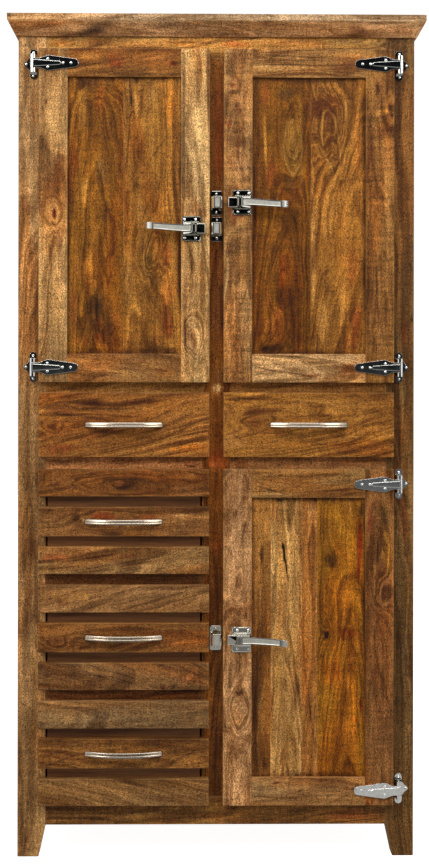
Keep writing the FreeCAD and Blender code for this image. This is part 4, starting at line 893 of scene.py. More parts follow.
# a row of fine saw marks across the edge of the right stile
saw_marks = tuple((383, z, 30, 1.2, 0, (92, 56, 28), 0.5)
                  for z in (1292, 1274, 1259, 1241, 1226, 1207, 1191, 1172, 1150, 1134, 1117, 1096))
grime_and_shade = shaded(76, 318, 1076, 1665)
door(
    "upper_right_door", INNER, OUTER, 1.015, 1.726,
    stiles=(
        dict(
            seed=131, knots=((33, 1648, 17, 19, 15), (44, 1393, 30, 55, 20)), tone=(158, 117, 74),
            heart=(8, 90), lean=(0.01, 0.03), look=(0.8, 0.5, 0.22),
            marks=(
                (44, 1575, 38, 202, 0, (108, 64, 34), 0.28), (44, 1164, 38, 149, 0, (200, 150, 98), 0.4),
                (35, 1704, 21, 21, 0, (150, 104, 62), 0.4), (33, 1648, 9, 10, 0, (112, 52, 30), 0.75),
                (25, 1565, 9, 9, 0, (130, 42, 22), 0.75, 0.8), (23, 1552, 3, 11, 0, EBONY, 0.6),
                (50, 1473, 19, 32, 0, (214, 160, 116), 0.6), (67, 1554, 9, 72, 0, (190, 142, 92), 0.45),
                (44, 1605, 17, 26, 0, (132, 86, 52), 0.45), (59, 1627, 6, 17, 0, (96, 60, 34), 0.4),
                (40, 1511, 19, 6, 8, (206, 156, 110), 0.5), (44, 1496, 21, 3, -6, (116, 74, 46), 0.5),
                (48, 1526, 21, 3, 6, (112, 70, 44), 0.5), (44, 1541, 19, 4, 0, (206, 156, 112), 0.45),
                (46, 1558, 17, 3, 5, (116, 74, 46), 0.5), (44, 1393, 30, 51, 0, (142, 74, 42), 0.6),
                (23, 1293, 4, 19, 0, (110, 40, 18), 0.75), (57, 1271, 19, 55, 0, (206, 152, 86), 0.5),
                (35, 1280, 4, 55, 3, (120, 78, 42), 0.5), (57, 1194, 47, 3, 72, (112, 70, 34), 0.6),
                (44, 1156, 47, 3, 70, (112, 70, 34), 0.6), (35, 1190, 38, 3, 72, (120, 78, 40), 0.5),
                (65, 1151, 34, 3, 74, (124, 82, 44), 0.5), (21, 1179, 6, 128, 0, (222, 178, 126), 0.6),
                (46, 1145, 3, 9, 0, UMBER, 0.7), (42, 1074, 6, 4, 30, (104, 46, 22), 0.7),
                (44, 1051, 3, 11, 0, UMBER, 0.6), (27, 1066, 13, 47, 0, (218, 174, 122), 0.4),
                (67, 1094, 9, 43, 0, (120, 92, 58), 0.45),
            ),
        ),
        dict(
            seed=132, knots=((371, 1597, 21, 30, 20),), tone=(146, 101, 51), heart=(0, 80),
            lean=(-0.01, 0.04), look=(0.9, 0.6, 0.2),
            marks=(
                (348, 1597, 30, 170, 0, (100, 58, 28), 0.28), (348, 1168, 30, 160, 0, (182, 130, 78), 0.35),
                (342, 1644, 6, 23, 0, (70, 36, 16), 0.8), (329, 1622, 6, 47, 0, (200, 144, 76), 0.6),
                (357, 1622, 6, 30, 0, (190, 134, 70), 0.5), (354, 1592, 21, 9, 25, (206, 148, 72), 0.65),
                (371, 1603, 7, 13, 0, (70, 36, 16), 0.7), (374, 1586, 4, 6, 0, EBONY, 0.7),
                (344, 1550, 26, 21, 0, (108, 60, 28), 0.6), (329, 1500, 9, 47, 0, (124, 70, 34), 0.5),
                (363, 1511, 11, 43, 0, (158, 106, 58), 0.4), (344, 1415, 5, 77, 8, (80, 48, 24), 0.65),
                (357, 1372, 3, 85, 6, (90, 54, 28), 0.6), (363, 1404, 5, 94, 4, (184, 136, 82), 0.55),
                (329, 1340, 6, 72, 0, (120, 76, 40), 0.45), (363, 1271, 9, 106, 0, (180, 130, 76), 0.5),
                (342, 1211, 3, 128, 2, (96, 60, 32), 0.5), (325, 1190, 6, 106, 0, (116, 66, 34), 0.45),
                (348, 1083, 30, 2, 0, UMBER, 0.6), (348, 1096, 30, 2, 0, UMBER, 0.45),
                (350, 1036, 26, 13, 0, (120, 68, 36), 0.5),
            ) + saw_marks,
        ),
    ),
    rails=(
        dict(
            seed=133, tone=(155, 113, 65), heart=(20, 70), lean=(0.03, 0.05),
            marks=(
                (118, 1695, 96, 30, 0, (212, 164, 108), 0.25), (267, 1695, 72, 30, 0, (92, 54, 26), 0.28),
                (93, 1704, 32, 34, 0, (226, 180, 118), 0.65), (172, 1710, 77, 3, -2, (80, 48, 24), 0.7),
                (193, 1701, 89, 3, -1, (84, 50, 26), 0.65), (163, 1693, 64, 2, 0, (60, 34, 18), 0.65),
                (235, 1691, 55, 3, 2, (80, 48, 24), 0.6), (133, 1719, 47, 3, 0, (120, 80, 44), 0.5),
                (138, 1680, 51, 8, 2, (226, 180, 118), 0.6), (214, 1680, 43, 5, 0, (190, 136, 78), 0.5),
                (282, 1691, 43, 28, 0, (112, 66, 30), 0.65), (267, 1714, 47, 6, 0, (190, 134, 66), 0.4),
                (278, 1680, 30, 4, 0, (170, 116, 64), 0.5),
            ),
        ),
        dict(
            seed=134, tone=(195, 154, 110), heart=(0, 50), lean=(0.05, 0.08),
            marks=(
                (110, 1042, 40, 3, -15, (84, 50, 28), 0.7), (99, 1034, 28, 2, -16, (90, 54, 30), 0.65),
                (150, 1037, 60, 3, -8, (96, 58, 32), 0.6), (91, 1053, 13, 3, -10, (96, 58, 32), 0.5),
                (155, 1071, 32, 3, 0, (84, 48, 26), 0.7), (197, 1031, 32, 4, 4, (146, 80, 44), 0.5),
                (278, 1046, 26, 19, 0, (176, 112, 50), 0.5), (235, 1057, 43, 3, 3, (130, 82, 44), 0.45),
                (118, 1061, 34, 9, 0, (220, 176, 124), 0.45),
            ),
        ),
    ),
    boards=(
        dict(
            until=0.201, seed=135, knots=((159, 1526, 30, 85, 45), (120, 1126, 34, 64, 35)),
            tone=(116, 72, 15), heart=(10, 30), lean=(0.01, 0.13),
            marks=grime_and_shade + (
                (103, 1633, 11, 36, 0, (156, 84, 36), 0.55), (89, 1511, 9, 158, 0, (100, 54, 20), 0.6),
                (103, 1528, 4, 77, 2, (206, 142, 64), 0.6), (146, 1635, 30, 21, 0, (76, 50, 20), 0.65),
                (159, 1526, 26, 68, 0, (168, 126, 56), 0.55),
                (159, 1526, 30, 77, 0, (84, 52, 20), 0.35, 1, 0.07),
                (161, 1520, 19, 51, 0, (190, 144, 76), 0.35, 1, 0.12),
                (161, 1515, 9, 30, 0, (110, 80, 40), 0.5), (191, 1597, 9, 32, 0, (78, 36, 14), 0.7),
                (176, 1575, 6, 51, 0, (170, 120, 50), 0.45), (116, 1460, 19, 55, 0, (118, 58, 20), 0.6),
                (159, 1434, 19, 30, 15, (96, 62, 26), 0.5), (180, 1458, 9, 47, 8, (156, 110, 46), 0.45),
                (112, 1301, 28, 55, 0, (96, 54, 18), 0.5), (140, 1254, 9, 47, 0, (176, 92, 30), 0.6),
                (167, 1271, 11, 55, 0, (150, 104, 44), 0.5), (108, 1207, 6, 43, 0, (160, 92, 34), 0.45),
                (150, 1198, 34, 28, 0, (78, 42, 14), 0.65), (127, 1143, 23, 47, 0, (172, 108, 46), 0.55),
                (91, 1147, 9, 64, 0, (84, 46, 20), 0.6), (159, 1143, 6, 43, 0, (170, 106, 40), 0.5),
                (118, 1089, 38, 11, 0, (44, 20, 10), 0.8), (176, 1113, 13, 34, 0, (92, 46, 18), 0.6),
                (125, 1357, 11, 43, 0, (140, 88, 34), 0.4),
            ),
        ),
        dict(
            seed=136, knots=((242, 1558, 38, 77, 75), (244, 1286, 26, 43, 20)), tone=(147, 98, 39),
            heart=(30, 70), lean=(0.02, 0.06),
            marks=grime_and_shade + (
                (231, 1605, 43, 34, 0, (132, 70, 26), 0.6), (233, 1590, 26, 15, 8, (84, 34, 12), 0.85, 0.9),
                (242, 1582, 34, 36, 0, (80, 40, 16), 0.6, 1, 0.09),
                (244, 1582, 43, 49, 0, (84, 44, 18), 0.55, 1, 0.06),
                (246, 1575, 51, 64, 0, (88, 48, 20), 0.45, 1, 0.05),
                (244, 1528, 13, 55, 8, (86, 46, 18), 0.6, 1, 0.14),
                (244, 1532, 19, 68, 8, (206, 150, 76), 0.5, 1, 0.12),
                (244, 1520, 6, 38, 8, (150, 92, 38), 0.5), (278, 1592, 4, 47, 4, (214, 154, 78), 0.6),
                (301, 1532, 11, 94, 0, (180, 112, 44), 0.5), (272, 1511, 6, 64, 5, (184, 128, 62), 0.45),
                (206, 1308, 6, 181, 0, (206, 152, 88), 0.6), (235, 1393, 30, 77, 0, (184, 128, 62), 0.45),
                (269, 1378, 11, 64, 3, (126, 78, 32), 0.4), (218, 1258, 11, 13, 20, (116, 68, 30), 0.6),
                (244, 1280, 17, 6, 20, (120, 72, 32), 0.5), (291, 1263, 21, 51, 0, (148, 80, 32), 0.55),
                (299, 1147, 15, 64, 0, (140, 68, 24), 0.65), (227, 1151, 17, 53, 0, (206, 152, 82), 0.55),
                (267, 1186, 13, 60, 0, (196, 138, 68), 0.5), (248, 1207, 11, 17, 0, (104, 62, 28), 0.5),
                (246, 1134, 6, 43, 0, (116, 70, 30), 0.5), (282, 1102, 19, 15, 0, (160, 96, 44), 0.5),
                (214, 1094, 9, 17, 0, (150, 106, 60), 0.5), (265, 1318, 30, 4, 12, (120, 74, 32), 0.4),
            ),
        ),
    ),
)
grime_and_shade = shaded(76, 318, 174, 769)
door(
    "lower_door", INNER, OUTER, 0.113, 0.830,
    stiles=(
        dict(
            seed=141, knots=((46, 310, 26, 55, 35), (48, 590, 21, 43, 22)), tone=(193, 145, 102),
            heart=(0, 40), lean=(0.0, 0.12),
            marks=(
                (35, 794, 17, 32, 0, (204, 152, 110), 0.6), (61, 706, 3, 72, -14, (96, 58, 34), 0.7),
                (29, 654, 3, 28, 40, (104, 64, 38), 0.6), (69, 719, 2, 60, -12, (110, 68, 40), 0.55),
                (65, 783, 11, 38, -20, (124, 78, 44), 0.55), (48, 590, 11, 23, 0, (122, 72, 42), 0.65),
                (33, 530, 11, 51, 0, (190, 132, 86), 0.45), (63, 551, 6, 47, 0, (140, 92, 56), 0.45),
                (46, 356, 19, 12, 0, (104, 58, 32), 0.7), (46, 336, 23, 26, 0, (104, 60, 34), 0.5, 1, 0.1),
                (44, 302, 19, 28, 0, (198, 140, 90), 0.5),
                (46, 302, 26, 51, 0, (110, 66, 38), 0.5, 1, 0.08),
                (46, 267, 28, 64, 0, (116, 70, 42), 0.4, 1, 0.06), (46, 224, 26, 6, 10, (120, 74, 46), 0.5),
                (29, 190, 13, 43, 0, (200, 150, 104), 0.45), (58, 160, 11, 34, 0, (150, 104, 66), 0.45),
                (42, 128, 23, 3, 20, (96, 58, 34), 0.6), (20, 465, 6, 64, 0, (150, 100, 62), 0.4),
            ),
        ),
        dict(
            seed=142, knots=((360, 564, 19, 34, 25),), tone=(141, 95, 54), heart=(10, 80),
            lean=(0.01, 0.04),
            marks=(
                (328, 723, 9, 60, 0, (134, 62, 34), 0.6), (358, 742, 17, 36, 0, (104, 78, 40), 0.6),
                (364, 663, 12, 55, 0, (186, 132, 56), 0.75), (345, 659, 4, 64, 3, (80, 48, 26), 0.5),
                (360, 568, 15, 23, 0, (74, 30, 16), 0.7), (360, 560, 4, 6, 0, EBONY, 0.7),
                (360, 564, 21, 32, 0, (84, 44, 24), 0.5, 1, 0.12), (334, 530, 6, 64, 0, (140, 92, 56), 0.4),
                (349, 396, 3, 77, 10, (76, 44, 26), 0.6), (362, 358, 3, 68, 14, (78, 46, 28), 0.6),
                (338, 358, 3, 85, 6, (84, 50, 30), 0.5), (370, 401, 4, 55, 8, (144, 98, 60), 0.45),
                (347, 254, 32, 2, 3, (78, 46, 28), 0.55), (351, 235, 28, 2, -3, (80, 48, 30), 0.5),
                (347, 216, 30, 2, 4, (84, 50, 30), 0.5), (351, 272, 21, 6, 0, (140, 94, 60), 0.4),
                (338, 175, 17, 26, 0, (120, 80, 46), 0.4),
            ),
        ),
    ),
    rails=(
        dict(
            seed=143, tone=(151, 115, 71), heart=(10, 60), lean=(0.06, 0.06),
            marks=(
                (114, 787, 53, 3, -16, (80, 46, 24), 0.7), (97, 800, 34, 2, -18, (86, 52, 28), 0.6),
                (145, 800, 55, 2, -12, (96, 60, 32), 0.5), (181, 802, 77, 13, -4, (164, 116, 66), 0.4),
                (241, 820, 60, 4, 0, (106, 62, 32), 0.5), (88, 783, 17, 11, -16, (180, 118, 62), 0.5),
                (273, 787, 38, 4, 0, (120, 76, 40), 0.4),
            ),
        ),
        dict(
            seed=144, tone=(162, 122, 80), heart=(0, 55), lean=(-0.04, 0.07),
            marks=(
                (131, 162, 14, 4, 8, (80, 26, 10), 0.9), (179, 145, 14, 3, 22, (80, 30, 14), 0.85),
                (279, 149, 38, 5, 30, (198, 142, 88), 0.6), (251, 166, 51, 6, -4, (96, 58, 30), 0.6),
                (97, 143, 19, 19, 0, (120, 94, 62), 0.45), (156, 128, 64, 4, 4, (166, 118, 70), 0.4),
                (177, 171, 64, 3, -2, (90, 54, 28), 0.5), (262, 128, 43, 3, 24, (100, 60, 32), 0.5),
            ),
        ),
    ),
    boards=(
        dict(
            until=0.1165, seed=145, tone=(149, 102, 51), heart=(20, 60), lean=(0.02, 0.05),
            marks=grime_and_shade + (
                (99, 701, 9, 64, 0, (150, 108, 54), 0.5), (97, 652, 5, 23, 0, (64, 34, 16), 0.75),
                (92, 594, 9, 43, 0, (166, 116, 62), 0.5), (88, 508, 9, 55, 0, (104, 60, 32), 0.5),
                (86, 368, 9, 94, 0, (74, 42, 22), 0.65), (92, 338, 3, 36, -6, (150, 126, 96), 0.6),
                (105, 422, 6, 64, -5, (150, 104, 52), 0.5), (103, 261, 9, 51, 0, (176, 122, 62), 0.6),
                (105, 203, 6, 17, 0, (96, 52, 24), 0.6),
            ),
        ),
        dict(
            until=0.1835, seed=146, tone=(192, 144, 87), heart=(-10, 50), lean=(0.0, 0.07),
            marks=grime_and_shade + (
                (143, 680, 43, 106, 0, (232, 184, 118), 0.22), (143, 336, 43, 149, 0, (120, 80, 40), 0.18),
                (158, 740, 13, 47, 0, (112, 74, 34), 0.7), (124, 744, 6, 38, 0, (196, 142, 78), 0.5),
                (135, 633, 15, 98, 0, (224, 180, 112), 0.6), (162, 669, 13, 30, 10, (208, 160, 96), 0.5),
                (145, 654, 3, 26, 3, (30, 18, 10), 0.95, 0.7),
                (150, 624, 2, 26, 6, (30, 18, 10), 0.95, 0.7), (154, 598, 2, 13, 0, EBONY, 0.8),
                (142, 669, 3, 11, 0, EBONY, 0.8), (173, 693, 3, 3, 0, EBONY, 0.85),
                (179, 547, 3, 81, 0, (84, 62, 40), 0.8), (162, 508, 9, 85, 0, (196, 150, 88), 0.45),
                (133, 379, 11, 85, 2, (176, 126, 60), 0.5), (171, 358, 5, 43, 0, (120, 90, 56), 0.6),
                (177, 366, 3, 26, 0, (90, 48, 24), 0.7), (156, 250, 17, 51, 0, (150, 104, 44), 0.6),
                (122, 293, 6, 85, 0, (150, 104, 50), 0.5),
            ),
        ),
        dict(
            until=0.2165, seed=148, tone=(168, 112, 56), heart=(10, 60), lean=(0.03, 0.05),
            marks=grime_and_shade + (
                (203, 742, 11, 28, 0, (204, 146, 92), 0.7), (201, 669, 11, 43, 0, (190, 126, 66), 0.5),
                (198, 573, 11, 72, 0, (176, 112, 50), 0.45), (190, 414, 3, 77, 4, (54, 30, 14), 0.8),
                (205, 289, 3, 81, 7, (54, 30, 14), 0.85), (186, 293, 9, 77, 0, (166, 122, 66), 0.5),
                (207, 401, 6, 64, 4, (184, 118, 50), 0.5),
            ),
        ),
        dict(
            seed=147, knots=((237, 478, 17, 26, 22), (249, 637, 26, 38, 22)), tone=(157, 105, 27),
            heart=(20, 45), lean=(0.02, 0.08),
            marks=grime_and_shade + (
                (249, 637, 19, 21, 0, (78, 46, 14), 0.8), (230, 723, 9, 55, 0, (120, 74, 26), 0.5),
                (273, 558, 26, 58, 0, (194, 128, 38), 0.65), (237, 482, 13, 17, 0, (110, 58, 18), 0.6),
                (237, 476, 7, 9, 0, (22, 11, 6), 1.0, 0.4), (283, 482, 28, 17, 0, (116, 52, 16), 0.7),
                (307, 669, 6, 77, 0, (140, 38, 22), 0.8, 0.7), (305, 605, 5, 30, 0, (110, 30, 16), 0.7),
                (311, 744, 6, 21, 0, (56, 40, 44), 0.7), (281, 749, 9, 28, 0, (214, 150, 70), 0.7),
                (258, 766, 34, 13, 0, (110, 66, 28), 0.5), (247, 396, 30, 43, 0, (164, 88, 20), 0.6),
                (288, 405, 8, 77, -14, (196, 132, 54), 0.55), (262, 358, 4, 64, -20, (90, 50, 16), 0.5),
                (309, 328, 4, 19, 0, (130, 40, 24), 0.8, 0.7),
                (300, 293, 4, 6, 0, (140, 20, 12), 0.85, 0.6), (273, 261, 30, 60, 0, (186, 120, 38), 0.55),
                (232, 272, 9, 72, 0, (176, 108, 34), 0.4), (224, 551, 6, 85, 0, (120, 68, 24), 0.45),
                (309, 444, 6, 85, 0, (110, 56, 22), 0.6),
            ),
        ),
    ),
)

# Drawer fronts
# The two upper drawers have a one-board front. The fronts of the three lower ones are three slats
# each, fixed across the drawer box with gaps between them.

left_front = (
    (-265, 924, 132, 64, 0, (92, 44, 20), 0.3), (-54, 924, 77, 64, 0, (206, 140, 72), 0.3),
    (-278, 974, 77, 10, -6, (70, 30, 12), 0.85), (-176, 972, 64, 10, 6, (74, 32, 14), 0.75),
    (-333, 957, 34, 9, 0, (104, 54, 26), 0.6), (-301, 944, 64, 3, -5, EBONY, 0.65),
    (-227, 959, 68, 3, 0, EBONY, 0.6), (-248, 950, 55, 5, -2, (180, 112, 52), 0.5),
    (-312, 931, 55, 3, -4, UMBER, 0.6), (-348, 920, 11, 7, 0, (96, 48, 22), 0.7),
    (-348, 920, 19, 13, 0, (86, 48, 24), 0.55, 1, 0.16), (-210, 890, 51, 17, 0, (178, 120, 54), 0.5),
    (-231, 909, 38, 6, -3, (76, 38, 16), 0.6), (-329, 873, 51, 15, 0, (120, 56, 26), 0.65),
    (-274, 897, 30, 3, 20, (150, 84, 42), 0.5), (-83, 935, 77, 5, 24, (72, 40, 18), 0.65),
    (-66, 918, 68, 3, 24, (78, 44, 20), 0.55), (-104, 952, 64, 4, 26, (76, 40, 18), 0.6),
    (-75, 905, 77, 6, 22, (196, 138, 66), 0.55), (-96, 965, 47, 4, 28, (176, 120, 60), 0.5),
    (-121, 935, 64, 3, 24, (176, 112, 52), 0.45), (-58, 875, 55, 15, 8, (206, 122, 40), 0.7),
    (-58, 888, 47, 3, 16, (110, 62, 26), 0.5), (-30, 980, 17, 9, 20, (160, 106, 56), 0.4),
    (-365, 890, 13, 26, 0, (120, 76, 42), 0.4),
)
right_front = (
    (112, 924, 94, 64, 0, (100, 54, 24), 0.22), (278, 924, 94, 64, 0, (196, 138, 70), 0.22),
    (44, 980, 38, 4, 0, (76, 40, 18), 0.7), (91, 954, 60, 12, 4, (88, 46, 18), 0.7),
    (150, 972, 64, 4, 2, (104, 60, 28), 0.5), (40, 894, 30, 26, 0, (168, 118, 66), 0.45),
    (57, 879, 32, 3, -25, (196, 144, 84), 0.6), (48, 897, 26, 3, -28, (96, 60, 34), 0.5),
    (78, 933, 19, 17, 0, (116, 56, 26), 0.55), (27, 954, 15, 17, 0, (150, 96, 50), 0.4),
    (329, 899, 43, 30, 0, (196, 132, 56), 0.6), (325, 935, 28, 4, 22, (116, 50, 20), 0.7),
    (303, 897, 47, 3, 28, (92, 54, 24), 0.6), (278, 912, 55, 9, 28, (178, 112, 42), 0.55),
    (342, 954, 43, 3, 12, (110, 66, 32), 0.5), (267, 903, 17, 9, 10, (76, 44, 22), 0.6),
    (278, 869, 38, 9, 0, (94, 56, 32), 0.6), (172, 882, 47, 13, -2, (172, 112, 44), 0.5),
    (235, 972, 85, 9, -3, (160, 112, 58), 0.4), (193, 944, 64, 3, 3, (92, 52, 24), 0.5),
    (235, 931, 77, 3, 6, (100, 60, 28), 0.45), (120, 912, 43, 11, 0, (110, 62, 26), 0.4),
    (352, 875, 21, 11, 0, (170, 110, 50), 0.5),
)
left_knots, right_knots = ((-348, 920, 26, 17, 20), (-248, 959, 94, 17, 26)), ((78, 933, 47, 21, 28),)
for name, x0, x1, tone, seed, lean, marks, knots in (
    ("top_left_drawer", -OUTER, -INNER, (149, 98, 45), 151, 0.18, left_front, left_knots),
    ("top_right_drawer", INNER, OUTER, (157, 105, 44), 152, 0.05, right_front, right_knots),
):
    wooden(f"{name}_board", name, [f"{name}_front"],
           plank((x0, DOOR_FRONT, 0.856), (x1, DOOR_BACK, 0.9935), "x", seed, tone, (20, 50), (lean, 0.08),
                 (0.85, 0.7, 0.1), marks, edge=1.4, pitch=1.5, knots=knots))
slats = (
    (
        "upper_slat_drawer", (772, 830), "top", (126, 79, 35), 0.02,
        (
            (-185, 802, 72, 19, 0, (54, 28, 12), 0.85), (-208, 800, 13, 6, 4, (190, 122, 70), 0.9, 0.6),
            (-198, 802, 94, 28, 0, (66, 36, 16), 0.5, 1, 0.1),
            (-206, 802, 115, 36, 0, (70, 40, 18), 0.45, 1, 0.07),
            (-329, 800, 43, 21, 0, (146, 94, 50), 0.5), (-320, 800, 30, 15, 0, (84, 50, 24), 0.5, 1, 0.14),
            (-62, 783, 43, 15, 0, (150, 102, 60), 0.55), (-45, 822, 28, 2, -12, EBONY, 0.8),
            (-90, 805, 51, 3, 8, (76, 44, 20), 0.5),
        ),
    ),
    (
        "upper_slat_drawer", (687, 750), "middle", (137, 93, 51), 0.03,
        (
            (-295, 721, 17, 17, 0, (84, 46, 24), 0.7), (-240, 730, 34, 11, 0, (142, 60, 24), 0.7),
            (-278, 719, 15, 4, -40, (226, 170, 112), 0.65), (-231, 693, 38, 9, 0, (74, 40, 18), 0.6),
            (-185, 691, 26, 9, 0, (182, 116, 50), 0.6), (-143, 727, 30, 11, 0, (142, 70, 32), 0.6),
            (-206, 710, 19, 3, 55, (90, 44, 20), 0.6), (-181, 715, 19, 3, 60, (96, 48, 22), 0.6),
            (-223, 719, 19, 3, 50, (196, 124, 62), 0.5), (-157, 706, 21, 3, 40, (90, 50, 24), 0.55),
            (-69, 708, 51, 26, 0, (120, 88, 58), 0.45), (-75, 732, 23, 6, 0, (200, 152, 98), 0.45),
            (-343, 708, 30, 21, 0, (140, 98, 58), 0.4), (-316, 727, 30, 3, -14, (96, 60, 34), 0.5),
        ),
    ),
    (
        "upper_slat_drawer", (607, 665), "bottom", (149, 112, 71), 0.14,
        (
            (-346, 642, 38, 11, 0, (156, 74, 34), 0.65), (-269, 642, 77, 3, 8, (84, 50, 26), 0.65),
            (-206, 629, 89, 3, 9, (88, 54, 28), 0.6), (-143, 633, 98, 3, 8, (96, 60, 32), 0.55),
            (-75, 620, 64, 6, 8, (184, 130, 76), 0.45), (-269, 612, 89, 3, 5, (90, 56, 30), 0.5),
            (-185, 646, 64, 4, 7, (180, 120, 66), 0.45), (-333, 620, 43, 3, 6, (80, 50, 28), 0.5),
        ),
    ),
    (
        "middle_slat_drawer", (525, 583), "top", (144, 104, 66), 0.22,
        (
            (-303, 560, 55, 13, 0, (188, 136, 76), 0.5), (-329, 548, 17, 9, 0, (104, 60, 30), 0.55),
            (-121, 554, 89, 3, 16, (78, 46, 24), 0.65), (-75, 543, 64, 3, 18, (80, 48, 26), 0.6),
            (-168, 539, 64, 3, 14, (86, 52, 28), 0.6), (-58, 560, 43, 6, 14, (196, 144, 84), 0.5),
            (-206, 552, 64, 3, 12, (96, 60, 34), 0.5), (-100, 535, 64, 4, 16, (184, 130, 74), 0.45),
            (-26, 569, 15, 11, 0, (120, 84, 52), 0.4),
        ),
    ),
    (
        "middle_slat_drawer", (440, 503), "middle", (132, 85, 41), 0.1,
        (
            (-341, 460, 32, 13, 0, (88, 38, 16), 0.75), (-265, 479, 21, 3, -40, (96, 52, 24), 0.55),
            (-240, 475, 26, 3, -30, (170, 106, 56), 0.5), (-214, 479, 30, 3, -24, (90, 52, 26), 0.55),
            (-164, 483, 64, 4, 4, (156, 96, 50), 0.45), (-66, 466, 47, 15, 0, (168, 110, 54), 0.6),
            (-206, 453, 64, 6, 0, (96, 56, 28), 0.5), (-121, 451, 51, 3, 10, (92, 54, 26), 0.5),
            (-312, 486, 43, 6, 0, (150, 100, 54), 0.4),
        ),
    ),
    (
        "middle_slat_drawer", (360, 418), "bottom", (121, 87, 55), -0.2,
        (
            (-240, 387, 68, 3, -16, EBONY, 0.6), (-259, 400, 64, 4, -12, (170, 118, 70), 0.55),
            (-185, 376, 68, 3, -18, (70, 40, 22), 0.65), (-217, 398, 72, 3, -16, (84, 50, 26), 0.55),
            (-143, 385, 55, 3, -20, (156, 104, 60), 0.45), (-79, 381, 36, 4, 50, (76, 42, 22), 0.65),
            (-58, 385, 32, 6, 50, (184, 122, 76), 0.6), (-41, 385, 26, 3, 55, (80, 44, 24), 0.55),
            (-113, 366, 6, 7, 0, (84, 28, 18), 0.8), (-354, 368, 32, 3, -2, (136, 70, 36), 0.6),
            (-341, 391, 34, 11, 0, (140, 96, 56), 0.45),
        ),
    ),
    (
        "bottom_slat_drawer", (278, 336), "top", (139, 108, 75), 0.05,
        (
            (-312, 304, 64, 19, 0, (150, 116, 78), 0.5), (-143, 308, 68, 17, 0, (146, 112, 74), 0.4),
            (-227, 291, 51, 9, 0, (110, 78, 48), 0.45), (-333, 286, 19, 4, 20, (84, 58, 36), 0.5),
            (-259, 321, 43, 4, -6, (96, 66, 40), 0.4), (-58, 299, 38, 15, 0, (120, 84, 50), 0.45),
        ),
    ),
    (
        "bottom_slat_drawer", (193, 256), "middle", (144, 98, 50), 0.12,
        (
            (-143, 244, 60, 6, 0, (78, 34, 14), 0.7), (-337, 222, 43, 13, 0, (116, 72, 38), 0.4),
            (-329, 211, 43, 3, 20, (78, 48, 26), 0.6), (-83, 211, 47, 3, 24, (76, 44, 24), 0.6),
            (-62, 222, 47, 3, 28, (80, 48, 26), 0.6), (-54, 209, 34, 11, 15, (184, 126, 66), 0.55),
            (-111, 205, 21, 11, 0, (90, 44, 22), 0.5), (-227, 205, 64, 4, 3, (160, 106, 56), 0.4),
            (-291, 244, 64, 4, -3, (150, 104, 62), 0.4),
        ),
    ),
    (
        "bottom_slat_drawer", (113, 171), "bottom", (147, 108, 67), -0.16,
        (
            (-227, 149, 89, 6, -14, (180, 130, 76), 0.45), (-269, 152, 68, 3, -16, (84, 54, 30), 0.6),
            (-202, 130, 89, 3, -10, (88, 58, 34), 0.5), (-164, 145, 85, 3, -12, (90, 60, 34), 0.5),
            (-337, 119, 36, 11, 0, (158, 110, 60), 0.5), (-79, 128, 55, 11, -4, (146, 104, 60), 0.45),
            (-301, 130, 55, 3, -14, (84, 54, 30), 0.45),
        ),
    ),
)
# knots of the first, second and fifth slat, counted from 0
slat_knots = {0: ((-204, 800, 85, 21, 45),), 1: ((-240, 719, 51, 21, 32),), 4: ((-341, 460, 38, 17, 22),)}
for k, (body, (z0, z1), row, tone, lean, marks) in enumerate(slats):
    wooden(f"{body}_{row}_slat", body, [f"{body}_front"],
           plank((-OUTER, DOOR_FRONT, z0 / 1000), (-INNER, DOOR_BACK, z1 / 1000), "x", 161 + k, tone,
                 (15 - 6 * k, 50), (lean, 0.06), (0.85, 0.6, 0.12), marks, edge=1.4, pitch=1.5,
                 knots=slat_knots.get(k, ())))

# Inside boards
# Decks, shelves, partitions, cleats, runners and the drawer boxes are plainer boards of the same wood,
# planed and left with a thin coat of oil.


def plain_wood(name, ground, dark):
    """Straight-grained inner boards, whose figure follows the piece's own coordinates."""
    paint, tree = blank_paint(name)
    place = put(tree, "ShaderNodeTexCoord").outputs["Object"]
    long_way = vector(tree, "MULTIPLY", place, (3.0, 60.0, 60.0))
    streak = noise(tree, long_way, 5.0, 0.6, 0.4)
    fine_way = vector(tree, "MULTIPLY", place, (20.0, 500.0, 500.0))
    fibre = noise(tree, fine_way, 3.0, 0.6)
    ramp = put(tree, "ShaderNodeValToRGB", Fac=streak)
    ramp.color_ramp.elements[0].position, ramp.color_ramp.elements[1].position = 0.32, 0.68
    ramp.color_ramp.elements[0].color = (*dark, 1)
    ramp.color_ramp.elements[1].color = (*ground, 1)
    colour = scaled(tree, ramp.outputs[0], span(tree, fibre, 0.3, 0.7, 0.8, 1.15))
    rough = span(tree, streak, 0.3, 0.7, 0.62, 0.5)
    bump = put(tree, "ShaderNodeBump", Strength=0.25, Distance=0.0006, Height=fibre)
    skin = put(tree, "ShaderNodeBsdfPrincipled", Base_Color=colour, Roughness=rough, Normal=bump.outputs[0],
               Specular_IOR_Level=0.3)
    put(tree, "ShaderNodeOutputMaterial", Surface=skin.outputs[0])
    return paint


inner_wood = plain_wood("inner_wood", tint(150, 100, 57), tint(92, 54, 28))
drawers = (
    "top_left_drawer", "top_right_drawer", "upper_slat_drawer", "middle_slat_drawer", "bottom_slat_drawer",
)
for name in (
    "bottom_board", "deck_boards", "centre_partitions", "lower_shelf", "upper_shelves", "shelf_cleats",
    "drawer_runners", *(f"{drawer}_box" for drawer in drawers),
):
    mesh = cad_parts[name].data
    mesh.materials.clear()
    mesh.materials.append(inner_wood)

# Hinges
# Six icebox hinges of cast brass, plated and polished: a leaf with two ears on the post, a long
# ribbed strap on the door, and a turned pin through both. The castings have soft worn edges.


